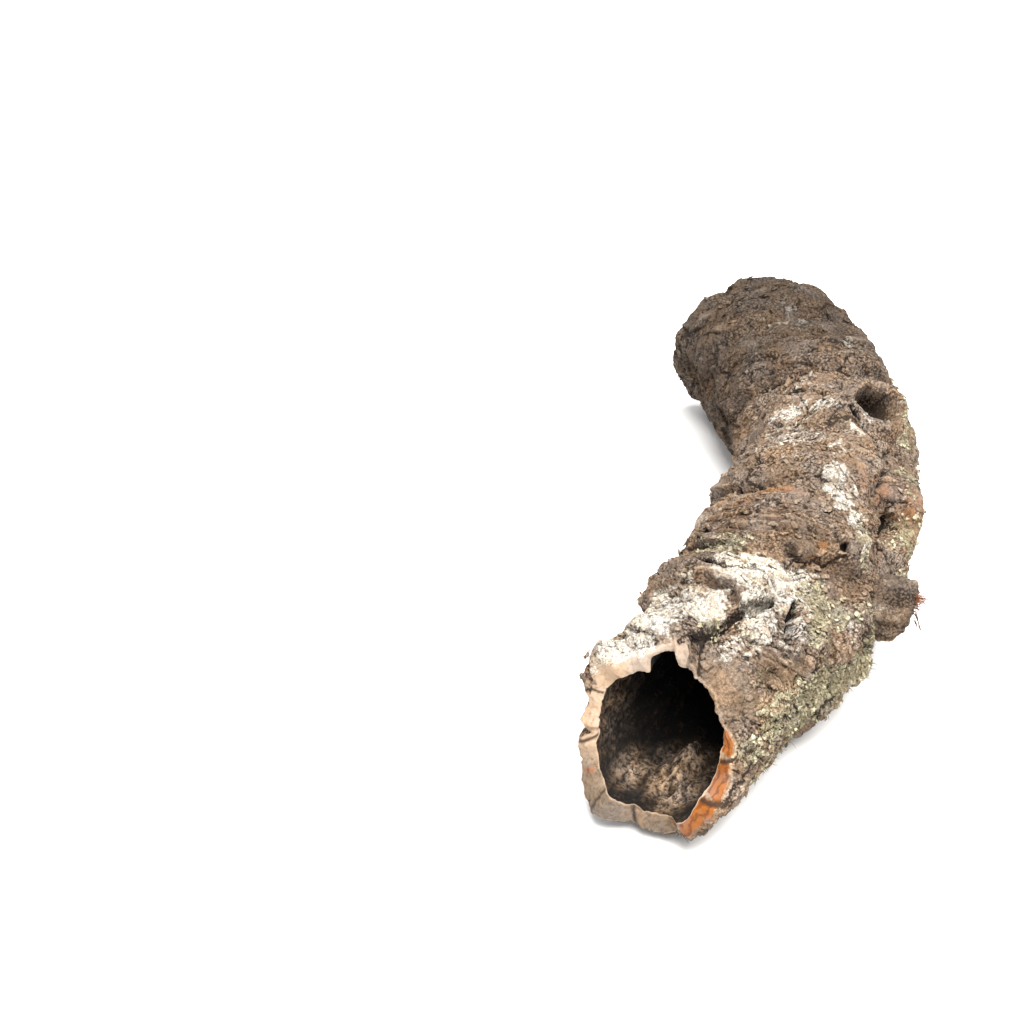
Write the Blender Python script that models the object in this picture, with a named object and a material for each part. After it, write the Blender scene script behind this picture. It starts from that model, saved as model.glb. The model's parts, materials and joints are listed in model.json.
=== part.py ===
"""A hollow branch of cork bark, lying on its side: one curved tube of thick bark, open at both ends, with a
raked and notched mouth, folds of bark along its back, a knot hole with a raised collar and the stub of a side
branch. Blender 4.5, metres, +Z up. The near mouth faces -Y and the branch bows out towards +X.
"""

import math

import bmesh
import bpy
import mathutils
import numpy as np

# The run of the branch: x and y of its middle line, then the half width and half height of the bark there.
STATIONS = (
    (-0.051, -0.270, 0.052, 0.055),
    (-0.030, -0.224, 0.055, 0.056),
    (-0.007, -0.170, 0.058, 0.057),
    (0.013, -0.110, 0.060, 0.058),
    (0.028, -0.040, 0.060, 0.059),
    (0.036, 0.028, 0.059, 0.060),
    (0.035, 0.098, 0.058, 0.060),
    (0.018, 0.164, 0.061, 0.060),
    (-0.006, 0.221, 0.061, 0.059),
    (-0.035, 0.272, 0.058, 0.057),
)
LINE_SAMPLES = 400
LIFT = 0.0030  # the middle line stands this much higher than the half height, so only lumps touch the ground

# The wall of bark, and the mean radius that turns an angle round the branch into a distance.
WALL = 0.0115
WALL_VARIES = (0.080, 0.0030)  # size of the variation, and how much thicker or thinner
THINNEST_WALL = 0.0055
MEAN_RADIUS = 0.065

# How far each end is cut back from square: the top leans back, and so does one side.
MOUTH_RAKE_TOP = 0.020
MOUTH_RAKE_SIDE = 0.006
MOUTH_ROUGH = (0.030, 0.0045)  # size of the raggedness, and how far along it goes
FAR_RAKE_TOP = -0.012
FAR_ROUGH = (0.035, 0.0090)
EDGE_ROUND = 0.006  # the bark's outer edge is worn round over this distance
EDGE_WORN = 0.0027

# Nicks in the mouth's edge: angle in degrees, half angle, and how deep each runs along the branch. A negative
# depth is a tongue that stands forward. A nick is at its full depth over NICK_FLAT of its half angle.
NICK_FLAT = 0.3
MOUTH_NICKS = (
    (101.0, 11.0, 0.016),
    (262.0, 8.0, 0.010),
    (240.0, 22.0, -0.008),
    (300.0, 24.0, -0.007),
    (187.0, 5.0, 0.005),
)

# Where the bark rolls in over the mouth's edge: angle, half angle, where it starts, and how far in it comes.
ROLLED_IN = (48.0, 46.0, 0.032, 0.0085)

# Overlapping folds of bark. Each one's near edge is a run of points (angle in degrees, distance along the branch),
# and then its height and its length. The edge is steep, and the fold tapers off towards the far end.
FOLDS = (
    (((163, -0.045), (80, -0.045)), 0.0110, 0.135),
    (((170, 0.090), (152, 0.084), (131, 0.077), (104, 0.079), (84, 0.068), (68, 0.060)), 0.0120, 0.085),
    (((178, 0.165), (142, 0.139), (124, 0.128), (98, 0.123), (62, 0.140), (40, 0.150)), 0.0100, 0.100),
    (((182, 0.252), (162, 0.242), (131, 0.212), (114, 0.208), (76, 0.224), (50, 0.217)), 0.0085, 0.105),
    (((176, 0.418), (140, 0.405), (113, 0.393), (95, 0.388), (70, 0.384), (44, 0.392)), 0.0085, 0.090),
    (((176, 0.492), (140, 0.480), (100, 0.470), (64, 0.474), (30, 0.462)), 0.0065, 0.110),
    (((84, 0.040), (66, 0.050), (48, 0.056), (30, 0.066), (14, 0.070)), 0.0055, 0.070),
    (((62, 0.300), (44, 0.306), (24, 0.292), (4, 0.286)), 0.0060, 0.080),
    (((48, 0.236), (30, 0.250), (10, 0.246), (-12, 0.252)), 0.0080, 0.070),
    (((12, 0.098), (-8, 0.106), (-32, 0.094), (-60, 0.100)), 0.0045, 0.090),
    (((-4, 0.206), (-30, 0.214), (-56, 0.200), (-84, 0.214)), 0.0070, 0.090),
    (((16, 0.352), (-10, 0.346), (-40, 0.360), (-76, 0.352)), 0.0075, 0.100),
    (((20, 0.440), (-20, 0.452), (-60, 0.438), (-90, 0.450)), 0.0070, 0.100),
    (((256, 0.020), (226, 0.012), (196, 0.024), (174, 0.016)), 0.0055, 0.080),
    (((268, 0.128), (240, 0.120), (206, 0.132), (178, 0.124)), 0.0070, 0.090),
    (((270, 0.232), (236, 0.244), (204, 0.230), (176, 0.240)), 0.0075, 0.090),
    (((272, 0.342), (236, 0.330), (204, 0.344), (172, 0.352)), 0.0075, 0.095),
    (((274, 0.448), (240, 0.456), (206, 0.440), (176, 0.446)), 0.0070, 0.100),
)
FOLD_EDGE = 0.010
FOLD_SIDE = math.radians(16)
FOLD_TAPER_FROM = 0.25  # a fold starts to taper at this share of its length
FOLD_WANDER = (0.030, 0.0070)  # size of an edge's wandering, and how far it wanders
FOLD_LEAN = 0.55  # how far a fold's crest tips towards the near end, as a share of its height
LEAN_FROM = 0.020  # within this distance of an end the crests tip less

# Ridges and creases along a run of points (distance along the branch, angle in degrees), then a half width and a
# height. A negative height is a crease.
RUNS = (
    (((0.164, 58), (0.154, 43), (0.146, 30), (0.131, 22), (0.116, 12)), 0.0120, 0.0110),
    (((0.164, 50), (0.171, 38), (0.176, 27), (0.166, 19), (0.152, 17), (0.147, 8), (0.158, 345)), 0.0060, -0.0095),
    (((0.004, 88), (0.030, 80), (0.046, 78), (0.062, 75), (0.086, 66)), 0.0055, -0.0070),
    (((0.104, 54), (0.091, 50), (0.080, 44)), 0.0050, -0.0080),
    (((0.138, 72), (0.145, 64), (0.150, 57)), 0.0055, -0.0060),
    (((0.400, 142), (0.388, 116), (0.383, 96)), 0.0080, -0.0060),
    (((0.221, 34), (0.225, 27), (0.231, 18)), 0.0090, -0.0100),
    (((0.300, 38), (0.306, 30), (0.298, 18)), 0.0070, -0.0060),
)

# Rounded lumps and hollows: distance along the branch, angle, radius along, radius round, height.
LUMPS = (
    (0.222, 164.0, 0.036, 0.028, 0.0060),
    (0.305, 90.0, 0.028, 0.026, 0.0070),
    (0.345, 112.0, 0.030, 0.030, 0.0050),
    (0.150, 344.0, 0.022, 0.020, 0.0070),
    (0.272, 24.0, 0.030, 0.026, 0.0060),
    (0.236, 6.0, 0.022, 0.020, 0.0070),
    (0.066, 150.0, 0.030, 0.024, 0.0050),
    (0.118, 150.0, 0.024, 0.030, 0.0050),
    (0.010, 144.0, 0.026, 0.018, 0.0060),
    (0.004, 182.0, 0.034, 0.026, -0.0030),
    (0.210, 300.0, 0.030, 0.028, 0.0070),
    (0.420, 320.0, 0.028, 0.030, 0.0080),
    (0.060, 190.0, 0.026, 0.024, 0.0050),
    (0.300, 180.0, 0.026, 0.024, 0.0060),
    (0.500, 150.0, 0.024, 0.030, 0.0070),
)

LUMP_FLAT = 0.15  # this share of a lump's radius is at its full height

# The knot hole: where it is, and its raised collar.
KNOT_AT = (0.333, 63.0)
KNOT_RADII = (0.0150, 0.0115)
KNOT_COLLAR = 0.0090
KNOT_COLLAR_AT = 1.40  # how many of the hole's radii out the collar is highest
KNOT_COLLAR_WIDTH = 0.0067

# Pits cut into the bark as egg shapes: distance along the branch, angle, radii along, round and into the bark, and
# how far the egg's middle stands out from the plain tube.
PIT_ROUGH = 0.12
PITS = (
    (0.333, 63.0, 0.0150, 0.0110, 0.0145, 0.0055),
    (0.226, 27.0, 0.0100, 0.0085, 0.0110, 0.0040),
)

# The stub of a side branch: where it leaves the bark, its radius, how far its broken end stands out, how deep its
# foot is buried, how oval it is, how far it leans for its height, and how much thinner its end is.
STUB_AT = (0.191, 357.0)
STUB_RADIUS = 0.0225
STUB_OUT = 0.0175
STUB_IN = 0.0140
STUB_OVAL = 0.92
STUB_LEAN = 0.18
STUB_TAPER = 0.20
STUB_SIDES = 20
STUB_ROUGH = (0.013, 0.0028)

# The mound of old bark on the floor of the hollow, just inside the mouth.
INNER_LUMPS = (
    (0.030, 268.0, 0.030, 0.024, 0.0120),
    (-0.010, 298.0, 0.014, 0.012, 0.0050),
    (0.000, 112.0, 0.034, 0.050, 0.0065),
    (-0.002, 12.0, 0.026, 0.030, 0.0045),
    (0.060, 215.0, 0.030, 0.020, 0.0050),
    (0.250, 120.0, 0.050, 0.030, 0.0050),
    (0.430, 250.0, 0.050, 0.030, 0.0060),
    (0.333, 63.0, 0.030, 0.024, 0.0040),
)

# Uneven bark between the folds: size of the unevenness, and its height.
SWELL_SIZE = 0.070
SWELL_HEIGHT = 0.0060
RIPPLE_SIZE = (0.040, 0.022)  # round the branch, along the branch
RIPPLE_HEIGHT = 0.0045
INNER_SIZE = (0.030, 0.050)  # round the hollow, along it
INNER_HEIGHT = 0.0030

# The faces that the solid is made of.
AROUND = 56
OUTER_RINGS = 62
RIM_RINGS = 2
INNER_RINGS = 17

BARK_COLOUR = (0.190, 0.145, 0.110, 1.0)
BARK_ROUGHNESS = 0.95


def scramble(ix, iy, iz, seed):
    """A whole-number hash of each lattice corner, the same on every run."""
    n = (ix * 374761393 + iy * 668265263 + iz * 1442695041 + seed * 974711) & 0xFFFFFFFF
    n = ((n ^ (n >> 13)) * 1274126177) & 0xFFFFFFFF
    n = ((n ^ (n >> 15)) * 668265263) & 0xFFFFFFFF
    return n ^ (n >> 16)


def noise(p, seed=0):
    """Gradient noise: at each corner of a unit lattice a fixed slope, blended smoothly in between."""
    p = np.asarray(p, float)
    cell = np.floor(p).astype(np.int64)
    f = p - cell
    w = f * f * f * (f * (f * 6 - 15) + 10)
    total = np.zeros(p.shape[:-1])
    for corner in range(8):
        step = np.array([(corner >> k) & 1 for k in range(3)])
        h = scramble(cell[..., 0] + step[0], cell[..., 1] + step[1], cell[..., 2] + step[2], seed)
        away = f - step
        slope = sum(((h >> (10 * k)) & 1023) / 511.5 * away[..., k] - away[..., k] for k in range(3))
        share = np.prod(np.where(step, w, 1 - w), axis=-1)
        total += share * slope
    return total


def layered(p, octaves, seed=0):
    """Noise summed at sizes that halve, each with half the height of the last."""
    return sum(noise(np.asarray(p) * 2**k, seed + k) / 2**k for k in range(octaves))


def smooth(low, high, x):
    """0 up to low, 1 from high, and an S between them."""
    t = np.clip((x - low) / (high - low), 0, 1)
    return t * t * (3 - 2 * t)


def middle_line():
    """A Catmull-Rom curve through the stations (x, y, half width, half height), and its length so far."""
    q = np.array(STATIONS)
    q = np.vstack([2 * q[0] - q[1], q, 2 * q[-1] - q[-2]])
    t = np.linspace(0, len(STATIONS) - 1 - 1e-9, LINE_SAMPLES)
    i = t.astype(int)
    f = (t - i)[:, None]
    a, b, c, d = q[i], q[i + 1], q[i + 2], q[i + 3]
    line = 0.5 * (2 * b + (c - a) * f + (2 * a - 5 * b + 4 * c - d) * f**2 + (3 * b - a - 3 * c + d) * f**3)
    run = np.concatenate([[0], np.cumsum(np.hypot(*np.diff(line[:, :2], axis=0).T))])
    return line, run


LINE, RUN = middle_line()
LENGTH = RUN[-1]


def along(s):
    """Centre, direction, sideways direction, half width and half height of the branch at distance s."""
    x, y, half_wide, half_high = (np.interp(s, RUN, LINE[:, k]) for k in range(4))
    heading = np.unwrap(np.arctan2(*np.gradient(LINE[:, :2], axis=0).T))
    turn = np.interp(s, RUN, heading)
    centre = np.stack([x, y, half_high + LIFT], -1)
    ahead = np.stack([np.sin(turn), np.cos(turn), 0 * turn], -1)
    aside = np.stack([np.cos(turn), -np.sin(turn), 0 * turn], -1)
    beyond = s - np.clip(s, 0, LENGTH)
    return centre + ahead * beyond[..., None], ahead, aside, half_wide, half_high


def straightened(s, angle):
    """The same point on a straight round tube, where patterns can run round the bark without a seam."""
    return np.stack([MEAN_RADIUS * np.cos(angle), MEAN_RADIUS * np.sin(angle), s], -1)


def angle_from(angle, degrees):
    """The shortest turn from a place on the bark to this angle, in radians."""
    return (angle - math.radians(degrees) + math.pi) % (2 * math.pi) - math.pi


def bump(s, angle, at, degrees, radius_along, radius_round):
    """1 at a place on the bark, falling smoothly to 0 at its radii."""
    out = np.hypot((s - at) / radius_along, angle_from(angle, degrees) * MEAN_RADIUS / radius_round)
    return 1 - smooth(LUMP_FLAT, 1.0, out)


def fold_height(s, angle):
    """Overlapping folds: each rises in one steep step and tapers off towards the far end."""
    size, far = FOLD_WANDER
    wander = far * layered(straightened(s, angle) / size, 2, 11)
    total = np.zeros(np.shape(s + angle))
    for points, height, length in FOLDS:
        turns = np.radians([p[0] for p in points])[::-1]
        places = np.array([p[1] for p in points])[::-1]
        middle = (turns[0] + turns[-1]) / 2
        turn = (angle - middle + math.pi) % (2 * math.pi) - math.pi + middle
        start = np.interp(turn, turns, places) + wander
        rise = smooth(0, FOLD_EDGE, s - start)
        fall = 1 - smooth(FOLD_TAPER_FROM * length, length, s - start)
        within = np.minimum(turn - turns[0], turns[-1] - turn)
        wide = smooth(-FOLD_SIDE / 2, FOLD_SIDE / 2, within)
        total = np.maximum(total, height * rise * fall * wide)
    return total


def run_height(s, angle):
    """Ridges and creases: a rounded bank either side of a line drawn on the bark."""
    total = np.zeros(np.shape(s + angle))
    for points, half_width, height in RUNS:
        nearest = np.full(total.shape, np.inf)
        for (s0, d0), (s1, d1) in zip(points, points[1:]):
            bend = math.radians((d1 - d0 + 180) % 360 - 180) * MEAN_RADIUS
            along_it, round_it = s - s0, angle_from(angle, d0) * MEAN_RADIUS
            span = (s1 - s0) ** 2 + bend**2
            share = np.clip((along_it * (s1 - s0) + round_it * bend) / span, 0, 1)
            nearest = np.minimum(nearest, np.hypot(along_it - share * (s1 - s0), round_it - share * bend))
        total = total + height * (1 - smooth(0, 1, nearest / half_width))
    return total


def knot_height(s, angle):
    """A raised collar round the place where the pit is cut."""
    at, degrees = KNOT_AT
    across = angle_from(angle, degrees) * MEAN_RADIUS / KNOT_RADII[1]
    out = np.hypot((s - at) / KNOT_RADII[0], across)
    return KNOT_COLLAR * np.exp(-(((out - KNOT_COLLAR_AT) * KNOT_RADII[1] / KNOT_COLLAR_WIDTH) ** 2))


def bark_height(s, angle):
    """How far the bark stands out from the plain tube."""
    tube = straightened(s, angle)
    swell = SWELL_HEIGHT * layered(tube / SWELL_SIZE, 2, 3)
    round_size, along_size = RIPPLE_SIZE
    ripple = RIPPLE_HEIGHT * layered(tube / np.array([round_size, round_size, along_size]), 2, 23)
    lumps = sum(h * bump(s, angle, at, deg, ra, rr) for at, deg, ra, rr, h in LUMPS)
    return fold_height(s, angle) + run_height(s, angle) + swell + ripple + lumps + knot_height(s, angle)


def mouth_at(angle):
    """Where the bark starts at each angle: a raked cut with nicks, tongues and a ragged edge."""
    ring = straightened(0 * angle, angle)
    start = MOUTH_RAKE_TOP * np.sin(angle) + MOUTH_RAKE_SIDE * np.cos(angle)
    size, far = MOUTH_ROUGH
    start = start + far * layered(ring / size, 2, 41)
    for degrees, half_angle, depth in MOUTH_NICKS:
        away = np.abs(angle_from(angle, degrees)) / math.radians(half_angle)
        start = start + depth * (1 - smooth(NICK_FLAT, 1.0, away))
    return start


def far_end_at(angle):
    """Where the bark stops at each angle, at the far end."""
    ring = straightened(0 * angle + 1.0, angle)
    size, far = FAR_ROUGH
    return LENGTH + FAR_RAKE_TOP * np.sin(angle) + far * layered(ring / size, 2, 57)


def outer_surface(u, angle):
    """The bark's outside: u runs 0 to 1 from the mouth to the far end."""
    near, far = mouth_at(angle), far_end_at(angle)
    s = near + u * (far - near)
    height = bark_height(s, angle)
    edge = np.minimum(s - near, far - s)
    height = height - EDGE_WORN * (1 - smooth(0, EDGE_ROUND, edge)) ** 2
    degrees, half_angle, start, amount = ROLLED_IN
    turned_in = 1 - smooth(0.5, 1.0, np.abs(angle_from(angle, degrees)) / math.radians(half_angle))
    height = height - amount * turned_in * np.clip(1 - (s - near) / start, 0, 1) ** 2
    centre, ahead, aside, half_wide, half_high = along(s)
    out = aside * (half_wide + height)[..., None] * np.cos(angle)[..., None]
    out[..., 2] += (half_high + height) * np.sin(angle)
    lean = -FOLD_LEAN * fold_height(s, angle) * smooth(0, LEAN_FROM, edge)
    return centre + out + ahead * lean[..., None]


def inner_surface(u, angle):
    """The hollow's wall, the bark's thickness inside the plain tube."""
    near, far = mouth_at(angle), far_end_at(angle)
    s = near + u * (far - near)
    tube = straightened(s, angle)
    round_size, along_size = INNER_SIZE
    size, thicker = WALL_VARIES
    wall = WALL + thicker * noise(tube / size, 71)
    wall = wall + INNER_HEIGHT * layered(tube / np.array([round_size, round_size, along_size]), 2, 73)
    wall = wall + sum(h * bump(s, angle, at, deg, ra, rr) for at, deg, ra, rr, h in INNER_LUMPS)
    wall = np.maximum(wall, THINNEST_WALL - bark_height(s, angle))
    centre, ahead, aside, half_wide, half_high = along(s)
    out = aside * (half_wide - wall)[..., None] * np.cos(angle)[..., None]
    out[..., 2] += (half_high - wall) * np.sin(angle)
    return centre + out


def rim(outer_edge, inner_edge):
    """Rings of the broken face between the bark's two edges."""
    shares = np.arange(1, RIM_RINGS) / RIM_RINGS
    return [outer_edge * (1 - share) + inner_edge * share for share in shares]


def branch_rings():
    """All the rings of the shell in order: out along the outside, over the far rim, back inside, over the mouth."""
    angle = np.linspace(0, 2 * np.pi, AROUND, endpoint=False)
    outside = [outer_surface(np.full(AROUND, u), angle) for u in np.linspace(0, 1, OUTER_RINGS)]
    inside = [inner_surface(np.full(AROUND, u), angle) for u in np.linspace(1, 0, INNER_RINGS)]
    rings = outside + rim(outside[-1], inside[0]) + inside + rim(inside[-1], outside[0])
    rings = np.array(rings)
    rings[..., 2] = np.maximum(rings[..., 2], 0.0)
    return rings


def shell_mesh(name, rings):
    """A closed mesh from rings of equal count, the last joined to the first."""
    bm = bmesh.new()
    verts = [[bm.verts.new(point) for point in ring] for ring in rings]
    for i, ring in enumerate(verts):
        following = verts[(i + 1) % len(verts)]
        for k in range(len(ring)):
            j = (k + 1) % len(ring)
            bm.faces.new((ring[k], ring[j], following[j], following[k]))
    bmesh.ops.triangulate(bm, faces=bm.faces[:])
    bmesh.ops.recalc_face_normals(bm, faces=bm.faces[:])
    mesh = bpy.data.meshes.new(name)
    bm.to_mesh(mesh)
    bm.free()
    return mesh


def stub_mesh():
    """A short thick peg with a broken, hollowed end, along its own Z, its foot below the origin."""
    bm = bmesh.new()
    deep = STUB_IN + STUB_OUT
    radii = {"radius1": STUB_RADIUS, "radius2": STUB_RADIUS}
    bmesh.ops.create_cone(bm, cap_ends=True, cap_tris=False, segments=STUB_SIDES, depth=deep, **radii)
    bmesh.ops.translate(bm, verts=bm.verts[:], vec=(0, 0, deep / 2 - STUB_IN))
    sides = [e for e in bm.edges if abs(e.verts[0].co.z - e.verts[1].co.z) > deep / 2]
    bmesh.ops.subdivide_edges(bm, edges=sides, cuts=4)
    end = [f for f in bm.faces if len(f.verts) == STUB_SIDES and f.calc_center_median().z > 0]
    bmesh.ops.inset_region(bm, faces=end, thickness=STUB_RADIUS / 3, depth=-STUB_RADIUS / 7)
    size, high = STUB_ROUGH
    for vert in bm.verts:
        x, y, z = vert.co
        wide = 1 - STUB_TAPER * smooth(0, STUB_OUT, z) + high / STUB_RADIUS * noise(np.array(vert.co) / size, 91)
        vert.co = (x * wide, y * wide * STUB_OVAL, z + STUB_LEAN * y)
    mesh = bpy.data.meshes.new("stub")
    bm.to_mesh(mesh)
    bm.free()
    return mesh


def stand_on_bark(obj, at, degrees, out_by):
    """Turns an object's Z straight out of the bark and its X along the branch, and moves it to its place."""
    angle = np.radians([degrees])
    centre, ahead, aside, half_wide, half_high = along(np.array([at]))
    out = aside[0] * math.cos(angle[0]) + np.array([0, 0, 1]) * math.sin(angle[0])
    reach = math.hypot(half_wide[0] * math.cos(angle[0]), half_high[0] * math.sin(angle[0]))
    turned = mathutils.Matrix(np.array([ahead[0], np.cross(out, ahead[0]), out]).T.tolist()).to_4x4()
    turned.translation = (centre[0] + out * (reach + out_by)).tolist()
    obj.matrix_world = turned


def pit_mesh(name, along_it, round_it, deep):
    """An egg shape."""
    bm = bmesh.new()
    bmesh.ops.create_uvsphere(bm, u_segments=14, v_segments=9, radius=1.0)
    for vert in bm.verts:
        rough = 1 + PIT_ROUGH * noise(vert.co, 97)
        vert.co = (vert.co.x * along_it * rough, vert.co.y * round_it * rough, vert.co.z * deep)
    mesh = bpy.data.meshes.new(name)
    bm.to_mesh(mesh)
    bm.free()
    return mesh


def bark_material():
    """Grey-brown cork, quite matt."""
    material = bpy.data.materials.new("cork_bark")
    material.use_nodes = True
    shader = material.node_tree.nodes["Principled BSDF"]
    shader.inputs["Base Color"].default_value = BARK_COLOUR
    shader.inputs["Roughness"].default_value = BARK_ROUGHNESS
    shader.inputs["Metallic"].default_value = 0.0
    return material


def collection(name):
    """A new collection in the scene."""
    found = bpy.data.collections.new(name)
    bpy.context.scene.collection.children.link(found)
    return found


def shape_with(obj, helper, operation, helpers):
    """Joins or cuts one object with another, which is then hidden."""
    helpers.objects.link(helper)
    helper.hide_render = True
    helper.display_type = "WIRE"
    step = obj.modifiers.new(helper.name, "BOOLEAN")
    step.operation = operation
    step.object = helper


def main():
    """Empties the scene and models the branch."""
    for obj in list(bpy.data.objects):
        bpy.data.objects.remove(obj, do_unlink=True)
    parts = collection("cork_branch")
    helpers = collection("joined_shapes")

    branch = bpy.data.objects.new("cork_branch", shell_mesh("cork_branch", branch_rings()))
    branch.data.materials.append(bark_material())
    parts.objects.link(branch)

    stub = bpy.data.objects.new("stub_shape", stub_mesh())
    stand_on_bark(stub, *STUB_AT, 0.0)
    shape_with(branch, stub, "UNION", helpers)
    for k, (at, degrees, along_it, round_it, deep, out_by) in enumerate(PITS):
        pit = bpy.data.objects.new(f"pit_shape_{k}", pit_mesh(f"pit_{k}", along_it, round_it, deep))
        stand_on_bark(pit, at, degrees, out_by)
        shape_with(branch, pit, "DIFFERENCE", helpers)

    bpy.context.view_layer.update()
    shape = branch.evaluated_get(bpy.context.evaluated_depsgraph_get())
    corners = np.array([shape.matrix_world @ v.co for v in shape.data.vertices])
    print("length of the middle line", round(float(LENGTH), 4))
    print("lowest corner", corners.min(0).round(5), "highest corner", corners.max(0).round(5))


main()
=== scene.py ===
# %% [markdown]
# # A hollow branch of cork bark
# The real thing is one piece of bark that came off an oak's branch as a tube: thick, light, grey-brown cork, rolled
# and folded across its length, with pale lichen on its upper side, a knot hole, and the stub of a side branch.
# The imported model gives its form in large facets. This lesson dresses that form: it repeats the same shape in
# much finer steps, adds the folds, wrinkles, cracks and growths that are too small for the facets, and paints it all.

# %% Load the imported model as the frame
import json
import math

import bpy
import numpy as np
from mathutils import Matrix, Vector

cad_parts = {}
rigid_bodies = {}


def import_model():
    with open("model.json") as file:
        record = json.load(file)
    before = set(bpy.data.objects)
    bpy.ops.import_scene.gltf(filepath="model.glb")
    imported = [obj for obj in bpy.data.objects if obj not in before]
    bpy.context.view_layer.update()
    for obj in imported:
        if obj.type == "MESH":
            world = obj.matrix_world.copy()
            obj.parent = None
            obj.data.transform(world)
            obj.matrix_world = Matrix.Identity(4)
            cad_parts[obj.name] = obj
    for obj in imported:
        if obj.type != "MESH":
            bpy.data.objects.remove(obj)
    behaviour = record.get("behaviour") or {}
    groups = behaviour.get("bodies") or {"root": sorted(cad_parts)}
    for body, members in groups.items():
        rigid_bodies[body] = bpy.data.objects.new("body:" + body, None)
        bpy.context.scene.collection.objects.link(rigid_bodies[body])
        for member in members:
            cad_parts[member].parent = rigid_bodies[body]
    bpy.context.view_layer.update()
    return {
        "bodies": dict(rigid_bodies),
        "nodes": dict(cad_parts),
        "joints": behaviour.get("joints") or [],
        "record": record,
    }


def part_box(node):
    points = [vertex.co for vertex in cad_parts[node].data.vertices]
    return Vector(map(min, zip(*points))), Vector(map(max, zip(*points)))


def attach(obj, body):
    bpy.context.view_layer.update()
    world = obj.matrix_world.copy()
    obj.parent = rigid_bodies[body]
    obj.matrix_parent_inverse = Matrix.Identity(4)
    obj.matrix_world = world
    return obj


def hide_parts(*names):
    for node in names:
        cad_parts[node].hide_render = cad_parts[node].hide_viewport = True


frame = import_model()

low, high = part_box("cork_branch")
print("the branch is", [round((b - a) * 1000) for a, b in zip(low, high)], "mm")

# %% [markdown]
# ## The camera
# The photograph looks down on the branch at about thirty degrees, a little from its right, from about a metre and a
# half away. Such a view is easily found by laying the model's outline over the picture and turning, moving and
# zooming until the two agree. The branch is kept where it is in the picture, so the camera aims well to its left.

# %% Camera
VIEW_ELEVATION = math.radians(30.0)
VIEW_TURN = math.radians(8.0)
VIEW_DISTANCE = 1.60
AIM = Vector((-0.181, 0.028, 0.030))
FOCAL_PIXELS = 2260.0
PHOTO_PIXELS = 1024.0
SENSOR_MM = 36.0


def look_along(elevation, turn):
    """The direction of sight: down by the elevation, and turned left of +Y."""
    flat = math.cos(elevation)
    return Vector((-math.sin(turn) * flat, math.cos(turn) * flat, -math.sin(elevation)))


sight = look_along(VIEW_ELEVATION, VIEW_TURN)
camera = bpy.data.objects.new("camera", bpy.data.cameras.new("camera"))
camera.data.sensor_width = SENSOR_MM
camera.data.lens = FOCAL_PIXELS / PHOTO_PIXELS * SENSOR_MM
camera.location = AIM - sight * VIEW_DISTANCE
camera.rotation_euler = sight.to_track_quat("-Z", "Y").to_euler()
bpy.context.scene.collection.objects.link(camera)
bpy.context.scene.camera = camera
print("camera at", [round(c, 3) for c in camera.location], "with a", round(camera.data.lens), "mm lens")

# %% [markdown]
# ## Noise
# Bark is shaped by many small accidents, so most of its relief comes from noise. Blender's own noise works one
# point at a time. Written with numpy it works on a whole grid of points at once, which is what makes a surface of a
# hundred thousand points quick to shape. The same noise, with the same seeds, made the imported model, so the fine
# surface follows the coarse one.


# %% Gradient noise, and ways to add it up
def scramble(ix, iy, iz, seed):
    """A whole-number hash of each lattice corner, the same on every run."""
    n = (ix * 374761393 + iy * 668265263 + iz * 1442695041 + seed * 974711) & 0xFFFFFFFF
    n = ((n ^ (n >> 13)) * 1274126177) & 0xFFFFFFFF
    n = ((n ^ (n >> 15)) * 668265263) & 0xFFFFFFFF
    return n ^ (n >> 16)


def noise(p, seed=0):
    """Gradient noise: at each corner of a unit lattice a fixed slope, blended smoothly in between."""
    p = np.asarray(p, float)
    cell = np.floor(p).astype(np.int64)
    f = p - cell
    w = f * f * f * (f * (f * 6 - 15) + 10)
    total = np.zeros(p.shape[:-1])
    for corner in range(8):
        step = np.array([(corner >> k) & 1 for k in range(3)])
        h = scramble(cell[..., 0] + step[0], cell[..., 1] + step[1], cell[..., 2] + step[2], seed)
        away = f - step
        slope = sum(((h >> (10 * k)) & 1023) / 511.5 * away[..., k] - away[..., k] for k in range(3))
        share = np.prod(np.where(step, w, 1 - w), axis=-1)
        total += share * slope
    return total


def layered(p, octaves, seed=0):
    """Noise summed at sizes that halve, each with half the height of the last."""
    return sum(noise(np.asarray(p) * 2**k, seed + k) / 2**k for k in range(octaves))


def rolls(p, octaves, seed=0):
    """Rounded rolls with sharp creases between them: the noise's own zero lines become the creases."""
    total = np.zeros(np.shape(p)[:-1])
    for k in range(octaves):
        total += np.sqrt(np.abs(noise(np.asarray(p) * 2**k, seed + k)) + 1e-4) / 2**k
    return total


def cells(p, seed=0):
    """Scattered points, one in each unit cube: distance to the nearest, the gap to the next, and the nearest's hash."""
    p = np.asarray(p, float)
    base = np.floor(p).astype(np.int64)
    near = np.full(p.shape[:-1], 9.0)
    second = near.copy()
    owner = np.zeros(p.shape[:-1], np.int64)
    for corner in range(27):
        step = np.array([corner % 3 - 1, corner // 3 % 3 - 1, corner // 9 - 1])
        at = base + step
        h = scramble(at[..., 0], at[..., 1], at[..., 2], seed)
        spot = at + np.stack([((h >> (10 * k)) & 1023) / 1023 for k in range(3)], -1)
        away = np.sqrt(((spot - p) ** 2).sum(-1))
        closer = away < near
        second = np.where(closer, near, np.minimum(second, away))
        owner = np.where(closer, h, owner)
        near = np.where(closer, away, near)
    return near, second - near, (owner & 1023) / 1023


def smooth(low_end, high_end, x):
    """0 up to the low end, 1 from the high end, and an S between them."""
    t = np.clip((x - low_end) / (high_end - low_end), 0, 1)
    return t * t * (3 - 2 * t)


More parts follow.
